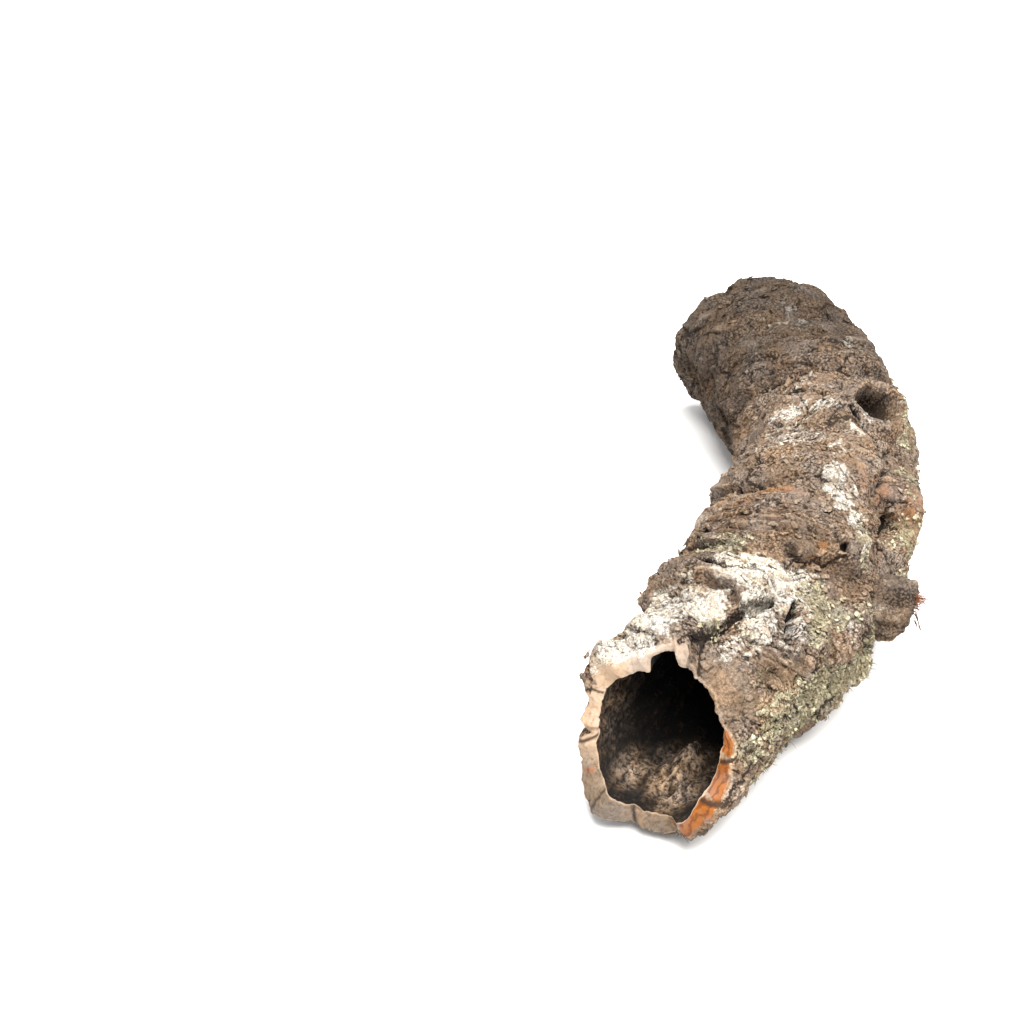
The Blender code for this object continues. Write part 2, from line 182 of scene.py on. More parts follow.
print("noise runs from about", noise(np.random.default_rng(1).random((4000, 3)) * 9).min().round(2), "to 0.9")

# %% [markdown]
# ## The run of the branch
# The branch is a bent tube, so every place on it has two numbers: how far along it is, and at what angle round it
# (0 degrees on the outside of the bend, 90 on top). The stations, folds, ridges and lumps below are the ones that
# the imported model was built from. Tables that give places on the bark are in millimetres; all else is in metres.

# %% The branch's own measures
MM = 1000  # millimetres in a metre
STATIONS = (
    (-51, -270, 52, 55), (-30, -224, 55, 56), (-7, -170, 58, 57), (13, -110, 60, 58), (28, -40, 60, 59),
    (36, 28, 59, 60), (35, 98, 58, 60), (18, 164, 61, 60), (-6, 221, 61, 59), (-35, 272, 58, 57),
)
LINE_SAMPLES = 400
LIFT = 0.0030
WALL = 0.0115
WALL_VARIES = (0.080, 0.0030)
MEAN_RADIUS = 0.065
MOUTH_RAKE_TOP = 0.020
MOUTH_RAKE_SIDE = 0.006
MOUTH_ROUGH = (0.030, 0.0045)
FAR_RAKE_TOP = -0.012
FAR_ROUGH = (0.035, 0.0090)
EDGE_ROUND = 0.006
EDGE_WORN = 0.0027
NICK_FLAT = 0.3
MOUTH_NICKS = (
    (101.0, 11.0, 0.004), (262.0, 8.0, 0.003), (240.0, 22.0, -0.008), (300.0, 24.0, -0.002), (187.0, 5.0, 0.003),
    (320.0, 26.0, -0.012), (124.0, 26.0, -0.006),
)
ROLLED_IN = (48.0, 46.0, 0.032, 0.0085)

# %% The folds: each near edge as angle and distance, then height and length
FOLDS = (
    (((163, -45), (80, -45)), 11, 135),
    (((170, 90), (152, 84), (131, 77), (104, 79), (84, 68), (68, 60)), 12, 85),
    (((178, 165), (142, 139), (124, 128), (98, 123), (62, 140), (40, 150)), 10, 100),
    (((182, 252), (162, 242), (131, 212), (114, 208), (76, 224), (50, 217)), 8.5, 105),
    (((176, 418), (140, 405), (113, 393), (95, 388), (70, 384), (44, 392)), 8.5, 90),
    (((176, 492), (140, 480), (100, 470), (64, 474), (30, 462)), 6.5, 110),
    (((84, 40), (66, 50), (48, 56), (30, 66), (14, 70)), 5.5, 70),
    (((62, 300), (44, 306), (24, 292), (4, 286)), 6, 80),
    (((48, 236), (30, 250), (10, 246), (-12, 252)), 8, 70),
    (((12, 98), (-8, 106), (-32, 94), (-60, 100)), 4.5, 90),
    (((-4, 206), (-30, 214), (-56, 200), (-84, 214)), 7, 90),
    (((16, 352), (-10, 346), (-40, 360), (-76, 352)), 7.5, 100),
    (((20, 440), (-20, 452), (-60, 438), (-90, 450)), 7, 100),
    (((256, 20), (226, 12), (196, 24), (174, 16)), 5.5, 80),
    (((268, 128), (240, 120), (206, 132), (178, 124)), 7, 90),
    (((270, 232), (236, 244), (204, 230), (176, 240)), 7.5, 90),
    (((272, 342), (236, 330), (204, 344), (172, 352)), 7.5, 95),
    (((274, 448), (240, 456), (206, 440), (176, 446)), 7, 100),
)
FOLD_EDGE = 0.010
FOLD_SIDE = math.radians(16)
FOLD_TAPER_FROM = 0.25
FOLD_WANDER = (0.030, 0.0070)
PULL_AT, PULL_WIDE = 0.2, 0.5  # where a fold pulls the lines on it most, and over how much of its length
FOLD_LEAN = 0.55
LEAN_FROM = 0.020

# %% Ridges, creases, lumps and the knot hole
RUNS = (
    (((164, 58), (154, 43), (146, 30), (131, 22), (116, 12)), 12, 11),
    (((164, 50), (171, 38), (176, 27), (166, 19), (152, 17), (147, 8), (158, 345)), 6, -9.5),
    (((4, 88), (30, 80), (46, 78), (62, 75), (86, 66)), 5.5, -7),
    (((104, 54), (91, 50), (80, 44)), 5, -8),
    (((138, 72), (145, 64), (150, 57)), 5.5, -6),
    (((400, 142), (388, 116), (383, 96)), 8, -6),
    (((221, 34), (225, 27), (231, 18)), 9, -10),
    (((300, 38), (306, 30), (298, 18)), 7, -6),
)
LUMPS = (
    (222, 164, 36, 28, 6), (305, 90, 28, 26, 7), (345, 112, 30, 30, 5), (150, 344, 22, 20, 7), (272, 24, 30, 26, 6),
    (236, 6, 22, 20, 7), (66, 150, 30, 24, 5), (118, 150, 24, 30, 5), (10, 144, 26, 18, 6), (4, 182, 34, 26, -3),
    (210, 300, 30, 28, 7), (420, 320, 28, 30, 8), (60, 190, 26, 24, 5), (300, 180, 26, 24, 6),
    (500, 150, 24, 30, 7),
)
LUMP_FLAT = 0.15
KNOT_AT = (0.333, 63.0)
KNOT_RADII = (0.0150, 0.0115)
KNOT_COLLAR = 0.0090
KNOT_COLLAR_AT = 1.40
KNOT_COLLAR_WIDTH = 0.0067
INNER_LUMPS = (
    (30, 268, 30, 24, 12), (-10, 298, 14, 12, 5), (0, 112, 34, 50, 6.5), (-2, 12, 26, 30, 4.5),
    (60, 215, 30, 20, 5), (250, 120, 50, 30, 5), (430, 250, 50, 30, 6), (333, 63, 30, 24, 4),
)
SWELL_SIZE = 0.070
SWELL_HEIGHT = 0.0060
RIPPLE_SIZE = (0.040, 0.022)
RIPPLE_HEIGHT = 0.0045
INNER_SIZE = (0.030, 0.050)
INNER_HEIGHT = 0.0030


# %% Finding a place on the branch
def middle_line():
    """A Catmull-Rom curve through the stations (x, y, half width, half height), and its length so far."""
    q = np.array(STATIONS) / MM
    q = np.vstack([2 * q[0] - q[1], q, 2 * q[-1] - q[-2]])
    t = np.linspace(0, len(STATIONS) - 1 - 1e-9, LINE_SAMPLES)
    i = t.astype(int)
    f = (t - i)[:, None]
    a, b, c, d = q[i], q[i + 1], q[i + 2], q[i + 3]
    line = 0.5 * (2 * b + (c - a) * f + (2 * a - 5 * b + 4 * c - d) * f**2 + (3 * b - a - 3 * c + d) * f**3)
    run = np.concatenate([[0], np.cumsum(np.hypot(*np.diff(line[:, :2], axis=0).T))])
    return line, run


LINE, RUN = middle_line()
LENGTH = RUN[-1]
HEADING = np.unwrap(np.arctan2(*np.gradient(LINE[:, :2], axis=0).T))


def along(s):
    """Centre, direction, sideways direction, half width and half height of the branch at distance s."""
    x, y, half_wide, half_high = (np.interp(s, RUN, LINE[:, k]) for k in range(4))
    turn = np.interp(s, RUN, HEADING)
    centre = np.stack([x, y, half_high + LIFT], -1)
    ahead = np.stack([np.sin(turn), np.cos(turn), 0 * turn], -1)
    aside = np.stack([np.cos(turn), -np.sin(turn), 0 * turn], -1)
    beyond = s - np.clip(s, 0, LENGTH)
    return centre + ahead * beyond[..., None], ahead, aside, half_wide, half_high


def straightened(s, angle):
    """The same place on a straight round tube, where patterns can run round the bark without a seam."""
    return np.stack([MEAN_RADIUS * np.cos(angle), MEAN_RADIUS * np.sin(angle), s], -1)


def drawn_out(tube, size_round, size_along):
    """A place on the straight tube in units of two sizes: one round the branch, one along it."""
    return tube / np.array([size_round, size_round, size_along])


def standing_out(s, angle, height):
    """Centre plus direction times radius, the oval's radius made longer by the height; and the way ahead."""
    centre, ahead, aside, half_wide, half_high = along(s)
    out = aside * (half_wide + height)[..., None] * np.cos(angle)[..., None]
    out[..., 2] += (half_high + height) * np.sin(angle)
    return centre + out, ahead


def angle_from(angle, degrees):
    """The shortest turn from a place on the bark to this angle, in radians."""
    return (angle - math.radians(degrees) + math.pi) % (2 * math.pi) - math.pi


def arc(angle, degrees, half_angle, flat):
    """1 round an angle, falling smoothly to 0 at the half angle either side."""
    return 1 - smooth(flat, 1.0, np.abs(angle_from(angle, degrees)) / math.radians(half_angle))


def bump(s, angle, at, degrees, radius_along, radius_round, flat=LUMP_FLAT, spread=1.0):
    """1 at a place on the bark, falling smoothly to 0 at its radii, which the spread makes longer."""
    radius_along, radius_round = spread * (radius_along / MM), spread * (radius_round / MM)
    out = np.hypot((s - at / MM) / radius_along, angle_from(angle, degrees) * MEAN_RADIUS / radius_round)
    return 1 - smooth(flat, 1.0, out)


def heaped(s, angle, lumps):
    """The sum of lumps, each given as distance, degrees, radius along, radius round and height."""
    return sum(high_by / MM * bump(s, angle, *place) for *place, high_by in lumps)


def off_line(s, angle, points):
    """Distance over the bark from a line drawn through these places."""
    nearest = np.full(np.shape(s + angle), np.inf)
    points = [(at / MM, degrees) for at, degrees in points]
    for (s0, d0), (s1, d1) in zip(points, points[1:]):
        bend = math.radians((d1 - d0 + 180) % 360 - 180) * MEAN_RADIUS
        along_it, round_it = s - s0, angle_from(angle, d0) * MEAN_RADIUS
        span = (s1 - s0) ** 2 + bend**2
        share = np.clip((along_it * (s1 - s0) + round_it * bend) / span, 0, 1)
        nearest = np.minimum(nearest, np.hypot(along_it - share * (s1 - s0), round_it - share * bend))
    return nearest


print("the middle line is", round(float(LENGTH) * 1000), "mm long")


# %% The large relief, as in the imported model
def folds(s, angle):
    """Overlapping folds, and the fold-edge shift: how far round-the-branch lines bend to run along the nearest edge."""
    size, far = FOLD_WANDER
    wander = far * layered(straightened(s, angle) / size, 2, 11)
    total = np.zeros(np.shape(s + angle))
    shift, weight = total + 0.0, total + 1e-3
    for points, height, length in FOLDS:
        height, length = height / MM, length / MM
        turns = np.radians([p[0] for p in points])[::-1]
        starts = np.array([p[1] for p in points])[::-1] / MM
        middle = (turns[0] + turns[-1]) / 2
        turn = (angle - middle + math.pi) % (2 * math.pi) - math.pi + middle
        start = np.interp(turn, turns, starts) + wander
        rise = smooth(0, FOLD_EDGE, s - start)
        fall = 1 - smooth(FOLD_TAPER_FROM * length, length, s - start)
        within = np.minimum(turn - turns[0], turns[-1] - turn)
        wide = smooth(-FOLD_SIDE / 2, FOLD_SIDE / 2, within)
        total = np.maximum(total, height * rise * fall * wide)
        pull = wide * np.exp(-(((s - start - PULL_AT * length) / (PULL_WIDE * length)) ** 2))
        shift = shift + pull * (start - starts.mean())
        weight = weight + pull
    return total, shift / weight


def banks(s, angle, runs):
    """Ridges and creases: a rounded bank either side of a line drawn on the bark."""
    total = np.zeros(np.shape(s + angle))
    for points, half_width, high_by in runs:
        total = total + high_by / MM * (1 - smooth(0, 1, off_line(s, angle, points) / (half_width / MM)))
    return total


def knot_out(s, angle):
    """How many of the knot hole's radii away a place is."""
    at, degrees = KNOT_AT
    return np.hypot((s - at) / KNOT_RADII[0], angle_from(angle, degrees) * MEAN_RADIUS / KNOT_RADII[1])


def knot_collar(s, angle):
    """A raised collar round the place where the pit is cut."""
    away = (knot_out(s, angle) - KNOT_COLLAR_AT) * KNOT_RADII[1]
    return KNOT_COLLAR * np.exp(-((away / KNOT_COLLAR_WIDTH) ** 2))


def large_relief(s, angle, fold):
    """How far the bark stands out from the plain tube, before its fine relief."""
    tube = straightened(s, angle)
    swell = SWELL_HEIGHT * layered(tube / SWELL_SIZE, 2, 3)
    ripple = RIPPLE_HEIGHT * layered(drawn_out(tube, *RIPPLE_SIZE), 2, 23)
    return fold + banks(s, angle, RUNS) + swell + ripple + heaped(s, angle, LUMPS) + knot_collar(s, angle)


def mouth_at(angle):
    """Where the bark starts at each angle: a raked cut with nicks, tongues and a ragged edge."""
    ring = straightened(0 * angle, angle)
    start = MOUTH_RAKE_TOP * np.sin(angle) + MOUTH_RAKE_SIDE * np.cos(angle)
    size, far = MOUTH_ROUGH
    start = start + far * layered(ring / size, 2, 41)
    for degrees, half_angle, depth in MOUTH_NICKS:
        start = start + depth * arc(angle, degrees, half_angle, NICK_FLAT)
    return start


def far_end_at(angle):
    """Where the bark stops at each angle, at the far end."""
    ring = straightened(0 * angle + 1.0, angle)
    size, far = FAR_ROUGH
    return LENGTH + FAR_RAKE_TOP * np.sin(angle) + far * layered(ring / size, 2, 57)


print("the mouth's edge runs from", *(mouth_at(np.radians(np.arange(360.0))).round(3)[[90, 270]]), "top and bottom")

# %% [markdown]
# ## The fine relief
# Cork grows in thin yearly layers that split as the branch gets thicker. On the real bark this shows as wrinkles
# that run round the branch, plates with cracks between them, and low steps where a layer has broken off. It could
# be painted on with a bump map alone, but the outline and the shadows would stay smooth. So everything larger than
# about two millimetres is real shape here, and only the grain is bump.

# %% Lobes, wrinkles, nodules and steps
WARP = (0.016, 0.0040)  # size of the bending of every pattern, and how far it goes
ROLLS = ((0.034, 0.0150, 0.0046), (0.0125, 0.0062, 0.0020), (0.0046, 0.0038, 0.0009))  # round, along, height
ROLL_MIDDLE = 0.72  # the mean of rolls of two octaves
LINES = (0.030, 0.0042, 0.0018)
SHINGLES = (0.0130, 0.0030)  # spacing along the branch, and height
PLATES = (0.034, 0.0160)
PLATE_STEP = 0.0022
PLATE_EDGE = 0.10
CRACK_DEEP = 0.0018
CRACK_WIDTH = (0.01, 0.06)  # the gap between plates where a crack is deepest, and where it ends
CRACKED = (0.045, -0.25, 0.15)  # size of the cracked areas, and the noise where they begin and are full
LINED_CALM = 0.45  # how much lower the small rolls are where the bark is lined
SHINGLE_BEND = (0.050, 1.3)  # size and reach of the bends in the shingles, in spacings
SHINGLE_SHIFT = 0.6  # how far one plate's shingles can lie from the next plate's
SHINGLE_RISE = 0.16
SHINGLE_MIDDLE = 0.42
LAYER = 0.0013
LAYER_RISE = 0.45
UNSTEPPED, STEPPED = 0.45, 0.55
CALMEST = 0.25  # the share of the relief that is left in the smoothest places
UNLINED = 0.35  # the share of the shingles' height where the bark isn't lined
SMOOTH_PLACES = (
    (46, 118, 30, 60, 0.55), (142, 47, 20, 18, 0.80), (262, 100, 46, 70, 0.30), (340, 110, 40, 70, 0.40),
    (18, 50, 36, 52, 0.95), (4, 176, 34, 56, 0.85), (0, 222, 30, 44, 0.75),
)
LINED_PLACES = (
    (168, 104, 46, 85, 1.0), (142, 46, 26, 24, 0.7), (262, 104, 50, 70, 0.6), (340, 108, 44, 70, 0.7),
    (420, 90, 50, 90, 0.6), (60, 176, 40, 30, 0.5), (62, 38, 32, 24, 1.0), (300, 200, 120, 80, 0.5),
)


def places(s, angle, spots, spread=1.0):
    """The strongest of several spots, each given as distance, degrees, radius along, radius round and strength."""
    total = np.zeros(np.shape(s + angle))
    for *place, strength in spots:
        total = np.maximum(total, strength * bump(s, angle, *place, 0.0, spread))
    return total


def fine_relief(s, angle, shift):
    """Lobes and nodules, lines where the bark is lined, and plates, cut into thin layers. Height, and crack depth."""
    tube = straightened(s - shift, angle)
    size, far = WARP
    tube = tube + far * np.stack([layered(tube / size, 2, 401 + k) for k in range(3)], -1)
    calm = 1 - places(s, angle, SMOOTH_PLACES)
    lined = places(s, angle, LINED_PLACES)
    height = np.zeros(np.shape(s))
    for k, (*sizes, high_by) in enumerate(ROLLS):
        rolled = rolls(drawn_out(tube, *sizes), 2, 301 + 10 * k)
        height = height + high_by * (rolled - ROLL_MIDDLE) * (1 - LINED_CALM * lined * (k > 0))
    *sizes, high_by = LINES
    height = height + high_by * (rolls(drawn_out(tube, *sizes), 2, 351) - ROLL_MIDDLE) * lined
    _, gap, owner = cells(drawn_out(tube, *PLATES), 321)
    spacing, high_by = SHINGLES
    bend_size, bend = SHINGLE_BEND
    row = tube[..., 2] / spacing + bend * layered(tube / bend_size, 2, 361) + SHINGLE_SHIFT * owner
    row = row - np.floor(row)
    shingle = smooth(0, SHINGLE_RISE, row) * (1 - row)
    height = height + high_by * (shingle - SHINGLE_MIDDLE) * (UNLINED + (1 - UNLINED) * lined)
    size, begins, full = CRACKED
    crack = smooth(begins, full, noise(tube / size, 341)) * (1 - smooth(*CRACK_WIDTH, gap))
    height = height + PLATE_STEP * (owner - 0.5) * smooth(0.0, PLATE_EDGE, gap)
    steps = height / LAYER
    stepped = LAYER * (np.floor(steps) + smooth(LAYER_RISE, 1.0, steps - np.floor(steps)))
    height = UNSTEPPED * height + STEPPED * stepped - CRACK_DEEP * crack
    return height * (CALMEST + (1 - CALMEST) * calm), crack * calm


# %% Cracks, creases and holes that have their own place
CREASES = (
    (((26, 87), (42, 82), (63, 78), (83, 70), (92, 66)), 4.2, 10.5),
    (((106, 55), (95, 51), (84, 46), (76, 43)), 3.6, 11),
    (((160, 54), (170, 40), (176, 28), (168, 19), (154, 16), (148, 6), (156, 346)), 5.2, 11),
    (((136, 78), (143, 68), (150, 58)), 2.6, 4),
    (((348, 132), (350, 116), (345, 100), (324, 84), (298, 66), (286, 54)), 5, 8),
    (((288, 152), (272, 142), (262, 130), (262, 118)), 4, 7),
    (((112, 128), (106, 112), (100, 98), (110, 88)), 3.6, 6),
    (((128, 112), (133, 96), (141, 84), (140, 74)), 1.8, 3),
    (((146, 120), (152, 104), (160, 90), (172, 82)), 1.8, 3),
    (((186, 124), (180, 112), (170, 106), (158, 110)), 2, 4),
    (((214, 140), (228, 126), (240, 122), (256, 124)), 3, 6),
    (((402, 142), (389, 116), (384, 96), (380, 78)), 5, 6),
    (((303, 40), (304, 30), (296, 16)), 3.6, 7),
    (((276, 50), (262, 48), (250, 50)), 2.6, 5),
    (((62, 166), (78, 160), (98, 164)), 2.6, 5),
    (((118, 8), (128, 356), (122, 340)), 3, 5),
    (((36, 12), (52, 4), (70, 8)), 2.8, 4),
    (((-20, 192), (2, 186), (16, 196)), 2, 5),
    (((-20, 154), (-4, 160), (12, 152)), 1.8, 4),
)
HOLES = (
    (334, 63, 15, 16.5, 23), (238, 27, 11, 10, 16), (165, 74, 3, 3.6, 5), (141, 66, 3.4, 3, 6), (262, 8, 5, 4, 5),
    (20, 152, 5, 3.4, 4),
)
CREASE_WANDER = (0.009, 0.0022)
CREASE_FLAT = 0.1
# painted shade: a crease darkens with its depth, fully at the depth given here
CREASE_DARK = 0.006  # a crease this deep is as dark as creases get
HOLE_WALL = 0.76
DEEP_HOLE = 0.010
HOLE_LEAN = 0.62  # a deep hole runs away from the near end by this share of its depth


def placed_relief(s, angle):
    """Narrow creases along drawn lines, and holes with steep walls: their depth, and a mask of painted shade that
    deepens with it.
    """
    size, far = CREASE_WANDER
    wander = far * np.stack([layered(straightened(s, angle) / size, 2, 431 + k) for k in range(2)], -1)
    s, angle = s + wander[..., 0], angle + wander[..., 1] / MEAN_RADIUS
    depth = np.zeros(np.shape(s))
    for points, half_width, deep in CREASES:
        out = off_line(s, angle, points) / (half_width / MM)
        depth = np.maximum(depth, deep / MM * (1 - smooth(CREASE_FLAT, 1.0, out)))
    # painted shade, darker the deeper a crease is, and darkest in the deep holes
    depth_shade = np.clip(depth / CREASE_DARK, 0, 1)
    for *place, deep in HOLES:
        inside = bump(s, angle, *place, HOLE_WALL)
        depth = np.maximum(depth, deep / MM * inside)
        depth_shade = np.maximum(depth_shade, smooth(0.25, 0.75, inside) if deep / MM > DEEP_HOLE else inside)
    return depth, depth_shade


# %% [markdown]
# ## The bark's skin as a surface
# The outside, the broken rim and the wall of the hollow are one closed surface with two parameters: how far along,
# and the angle round. A photograph shows the top and the right side best, so the steps round the branch are finer
# there and coarser underneath. Two pieces share the work, because one mesh fine enough would be too heavy. The join
# between them lies in the crease under a fold's edge, where the real bark overlaps too.

# %% Crests that only the fine surface has
CRESTS = (
    (((326, 132), (332, 116), (328, 101), (306, 84), (282, 68)), 15, 5),
    (((246, 154), (238, 140), (232, 126)), 12, 3),
    (((110, 34), (98, 30), (84, 28)), 7, 4),
    (((150, 30), (136, 24), (122, 16)), 8, 4),
    (((94, 44), (82, 38), (66, 34)), 6, 3),
    (((30, 130), (34, 112), (40, 98)), 14, 4),
    (((52, 100), (64, 94), (76, 92)), 11, 5),
    (((100, 78), (88, 66), (70, 58)), 12, 3),
    (((322, 84), (316, 72), (314, 60), (318, 46)), 6, 3.6),
)
KNOT_TILT, KNOT_TILT_TO = 0.55, 1.2  # the tilt's strength, and the knot radii it goes on for


def crests(s, angle):
    """Rounded banks along drawn lines, and the knot's collar higher on the side away from the near end."""
    tilt = np.clip((s - KNOT_AT[0]) / KNOT_RADII[0], -KNOT_TILT_TO, KNOT_TILT_TO)
    return banks(s, angle, CRESTS) + KNOT_TILT * tilt * knot_collar(s, angle)


# %% The angles, and the join
FINE_ANGLES, COARSE_ANGLES = 258, 62
UNDER_FROM, UNDER_TO = math.radians(204), math.radians(312)
JOIN = (  # degrees, and the distance along the branch in millimetres
    (-90, 231), (-84, 213), (-56, 199), (-30, 213), (-4, 205), (10, 207), (27, 209), (44, 213),
    (50, 216.5), (76, 223.5), (114, 207.5), (131, 211.5), (162, 241.5), (178, 243), (204, 230),
    (236, 244), (270, 231),
)
JOIN_BACK = 0.0005


def angles_round():
    """All the angles of a ring, dense over the top and sides and sparse underneath."""
    fine = np.linspace(UNDER_TO - 2 * math.pi, UNDER_FROM, FINE_ANGLES, endpoint=False)
    coarse = np.linspace(UNDER_FROM, UNDER_TO, COARSE_ANGLES, endpoint=False)
    return np.concatenate([fine, coarse])


def join_at(angle):
    """Where the near piece ends and the far piece begins: just in front of a run of fold edges."""
    degrees, place = np.array(JOIN).T
    turn = (np.degrees(angle) + 90) % 360 - 90
    start = np.interp(turn, degrees, place / MM)
    size, far = FOLD_WANDER
    return start + far * layered(straightened(start, angle) / size, 2, 11) - JOIN_BACK


ROUND = angles_round()
print(len(ROUND), "points round each ring; the join runs from", *join_at(ROUND).round(3)[[0, 100]])

# %% The outside
ROUNDED = (  # angle, half angle, extra wear (less than nought adds bark)
    (112.0, 34.0, 0.0060), (50.0, 44.0, 0.0040), (150.0, 24.0, 0.0020),
    (172.0, 18.0, -0.0050), (228.0, 20.0, -0.0050), (322.0, 24.0, -0.0050),
)
ROUNDED_OVER = 0.022
ROUNDED_FLAT, ROLLED_FLAT = 0.4, 0.5
COLLAR_WIDE, COLLAR_CALM = 1.2, 0.6  # the knot radii over which the collar is smoother, and by how much
FINE_LEAN, COLLAR_LEAN = 0.45, 0.5
MOUTH_CHIPPED = (0.0060, 0.0010)  # size of the chips along the mouth's outer edge, and how deep they go


def outside(s, angle, edge):
    """Tube plus large relief, fine relief and placed relief; crests lean to the near end. Returns points and masks."""
    fold, shift = folds(s, angle)
    fine, crack = fine_relief(s, angle, shift)
    dent, pit = placed_relief(s, angle)
    collar = np.clip(COLLAR_WIDE - np.abs(knot_out(s, angle) - COLLAR_WIDE), 0, 1)
    fine = fine * (1 - COLLAR_CALM * collar)
    height = large_relief(s, angle, fold) + crests(s, angle) + fine - dent
    height = height - EDGE_WORN * (1 - smooth(0, EDGE_ROUND, edge)) ** 2
    from_mouth = s - mouth_at(angle)
    for degrees, half_angle, amount in ROUNDED:
        wide = arc(angle, degrees, half_angle, ROUNDED_FLAT)
        height = height - amount * wide * np.clip(1 - from_mouth / ROUNDED_OVER, 0, 1) ** 2
    degrees, half_angle, start, amount = ROLLED_IN
    wide = arc(angle, degrees, half_angle, ROLLED_FLAT)
    height = height - amount * wide * np.clip(1 - from_mouth / start, 0, 1) ** 2
    points, ahead = standing_out(s, angle, height)
    lean = (-FOLD_LEAN * fold - FINE_LEAN * fine) * smooth(0, LEAN_FROM, edge)
    lean = lean + HOLE_LEAN * np.where(dent > DEEP_HOLE / 2, dent, 0) * (pit > 0)
    lean = lean - COLLAR_LEAN * knot_collar(s, angle)
    return points + ahead * lean[..., None], {"fine": fine, "crack": crack, "pit": pit, "shift": shift}


# %% The hollow's wall
HOLLOW_RAGGED = ((0.0120, 0.0042), (0.0045, 0.0014))
NOTCH = (8.5, 24, 103.5, 30, 13.5)  # depth, then the place and its radii
NOTCH_FLAT = 0.62
ROUGH_FLOOR = 1.1
CALM_EDGE = 0.014  # how far in from the edge the wall is smoother
LEAST_WALL, FINE_DEPTH = 0.0035, 0.004  # the thinnest wall, and the room it leaves for the fine relief outside
MOUND_PLACES = (
    (28, 268, 44, 40, 1.0), (4, 286, 30, 26, 0.8), (6, 234, 30, 26, 0.6), (14, 178, 50, 60, 0.22),
)
MOUTH_WALL = (  # degrees, and how far in the edge lies, in millimetres
    (0, 17.0), (20, 18.0), (35, 21.0), (50, 22.0), (65, 18.5), (80, 17.0), (92, 16.0), (114, 16.0), (125, 14.0),
    (140, 11.0), (155, 9.5), (170, 11.0), (185, 14.0), (220, 15.0), (232, 19.0), (245, 21.0), (258, 18.0),
    (290, 16.0), (305, 12.0), (318, 11.0), (330, 14.0), (345, 15.5),
)
MOUTH_WALL_FADE = 0.034
FLOOR_LUMPS = (
    (12, 250, 16, 14, 5), (14, 284, 14, 12, 6), (34, 240, 14, 12, 6), (46, 266, 22, 14, 6), (30, 290, 12, 10, 5),
)


def hollow(s, angle):
    """The plain tube less the wall's thickness, with lumps, shreds and a mound on its floor."""
    tube = straightened(s, angle)
    size, thicker = WALL_VARIES
    wall = WALL + thicker * noise(tube / size, 71) + INNER_HEIGHT * layered(drawn_out(tube, *INNER_SIZE), 2, 73)
    wall = wall + heaped(s, angle, INNER_LUMPS) + heaped(s, angle, FLOOR_LUMPS)
    from_mouth = s - mouth_at(angle)
    edge_wall = np.interp(np.degrees(angle), *np.array(MOUTH_WALL).T, period=360) / MM
    wall = wall + (edge_wall - wall) * (1 - smooth(0, MOUTH_WALL_FADE, from_mouth))
    shreds = sum(far * (rolls(tube / size, 2, 451 + k) - ROLL_MIDDLE) for k, (size, far) in enumerate(HOLLOW_RAGGED))
    shreds = shreds * (1 + ROUGH_FLOOR * places(s, angle, MOUND_PLACES))
    shreds = shreds * (0.35 + 0.65 * smooth(0, CALM_EDGE, from_mouth))
    deep, *place = NOTCH
    wall = wall + shreds - deep / MM * bump(s, angle, *place, NOTCH_FLAT)
    wall = np.maximum(wall, LEAST_WALL - large_relief(s, angle, folds(s, angle)[0]) + FINE_DEPTH)
    return standing_out(s, angle, -wall)[0], shreds


# %% The broken rim
RIM_STEPS = 11
RIM_BULGE = 0.0016
RIM_ROUGH = ((0.0130, 0.0034), (0.0045, 0.0011))  # sizes of the roughness, and how far each goes
RIM_LAYERS = (4, 0.9, 0.02, 0.0009)  # how many, how much they bend, the size of the bends, and each one's step


def broken_rim(outer_edge, inner_edge, facing):
    """Rings straight across from one edge to the other, pushed along the branch by a bulge, layers and roughness."""
    share = (np.arange(1, RIM_STEPS) / RIM_STEPS)[:, None, None]
    flat = outer_edge * (1 - share) + inner_edge * share
    arch = np.sin(np.pi * share[..., 0])
    push = RIM_BULGE * arch
    for k, (size, far) in enumerate(RIM_ROUGH):
        push = push + far * arch ** (0.6 - 0.3 * k) * layered(flat / size, 2, 461 + k)
    count, bend, size, step = RIM_LAYERS
    steps = count * share[..., 0] + bend * noise(flat / size, 471)
    push = push + step * arch * (np.floor(steps) - steps + smooth(0.7, 1.0, steps - np.floor(steps)) + 0.5)
    return flat + facing * push[..., None], push
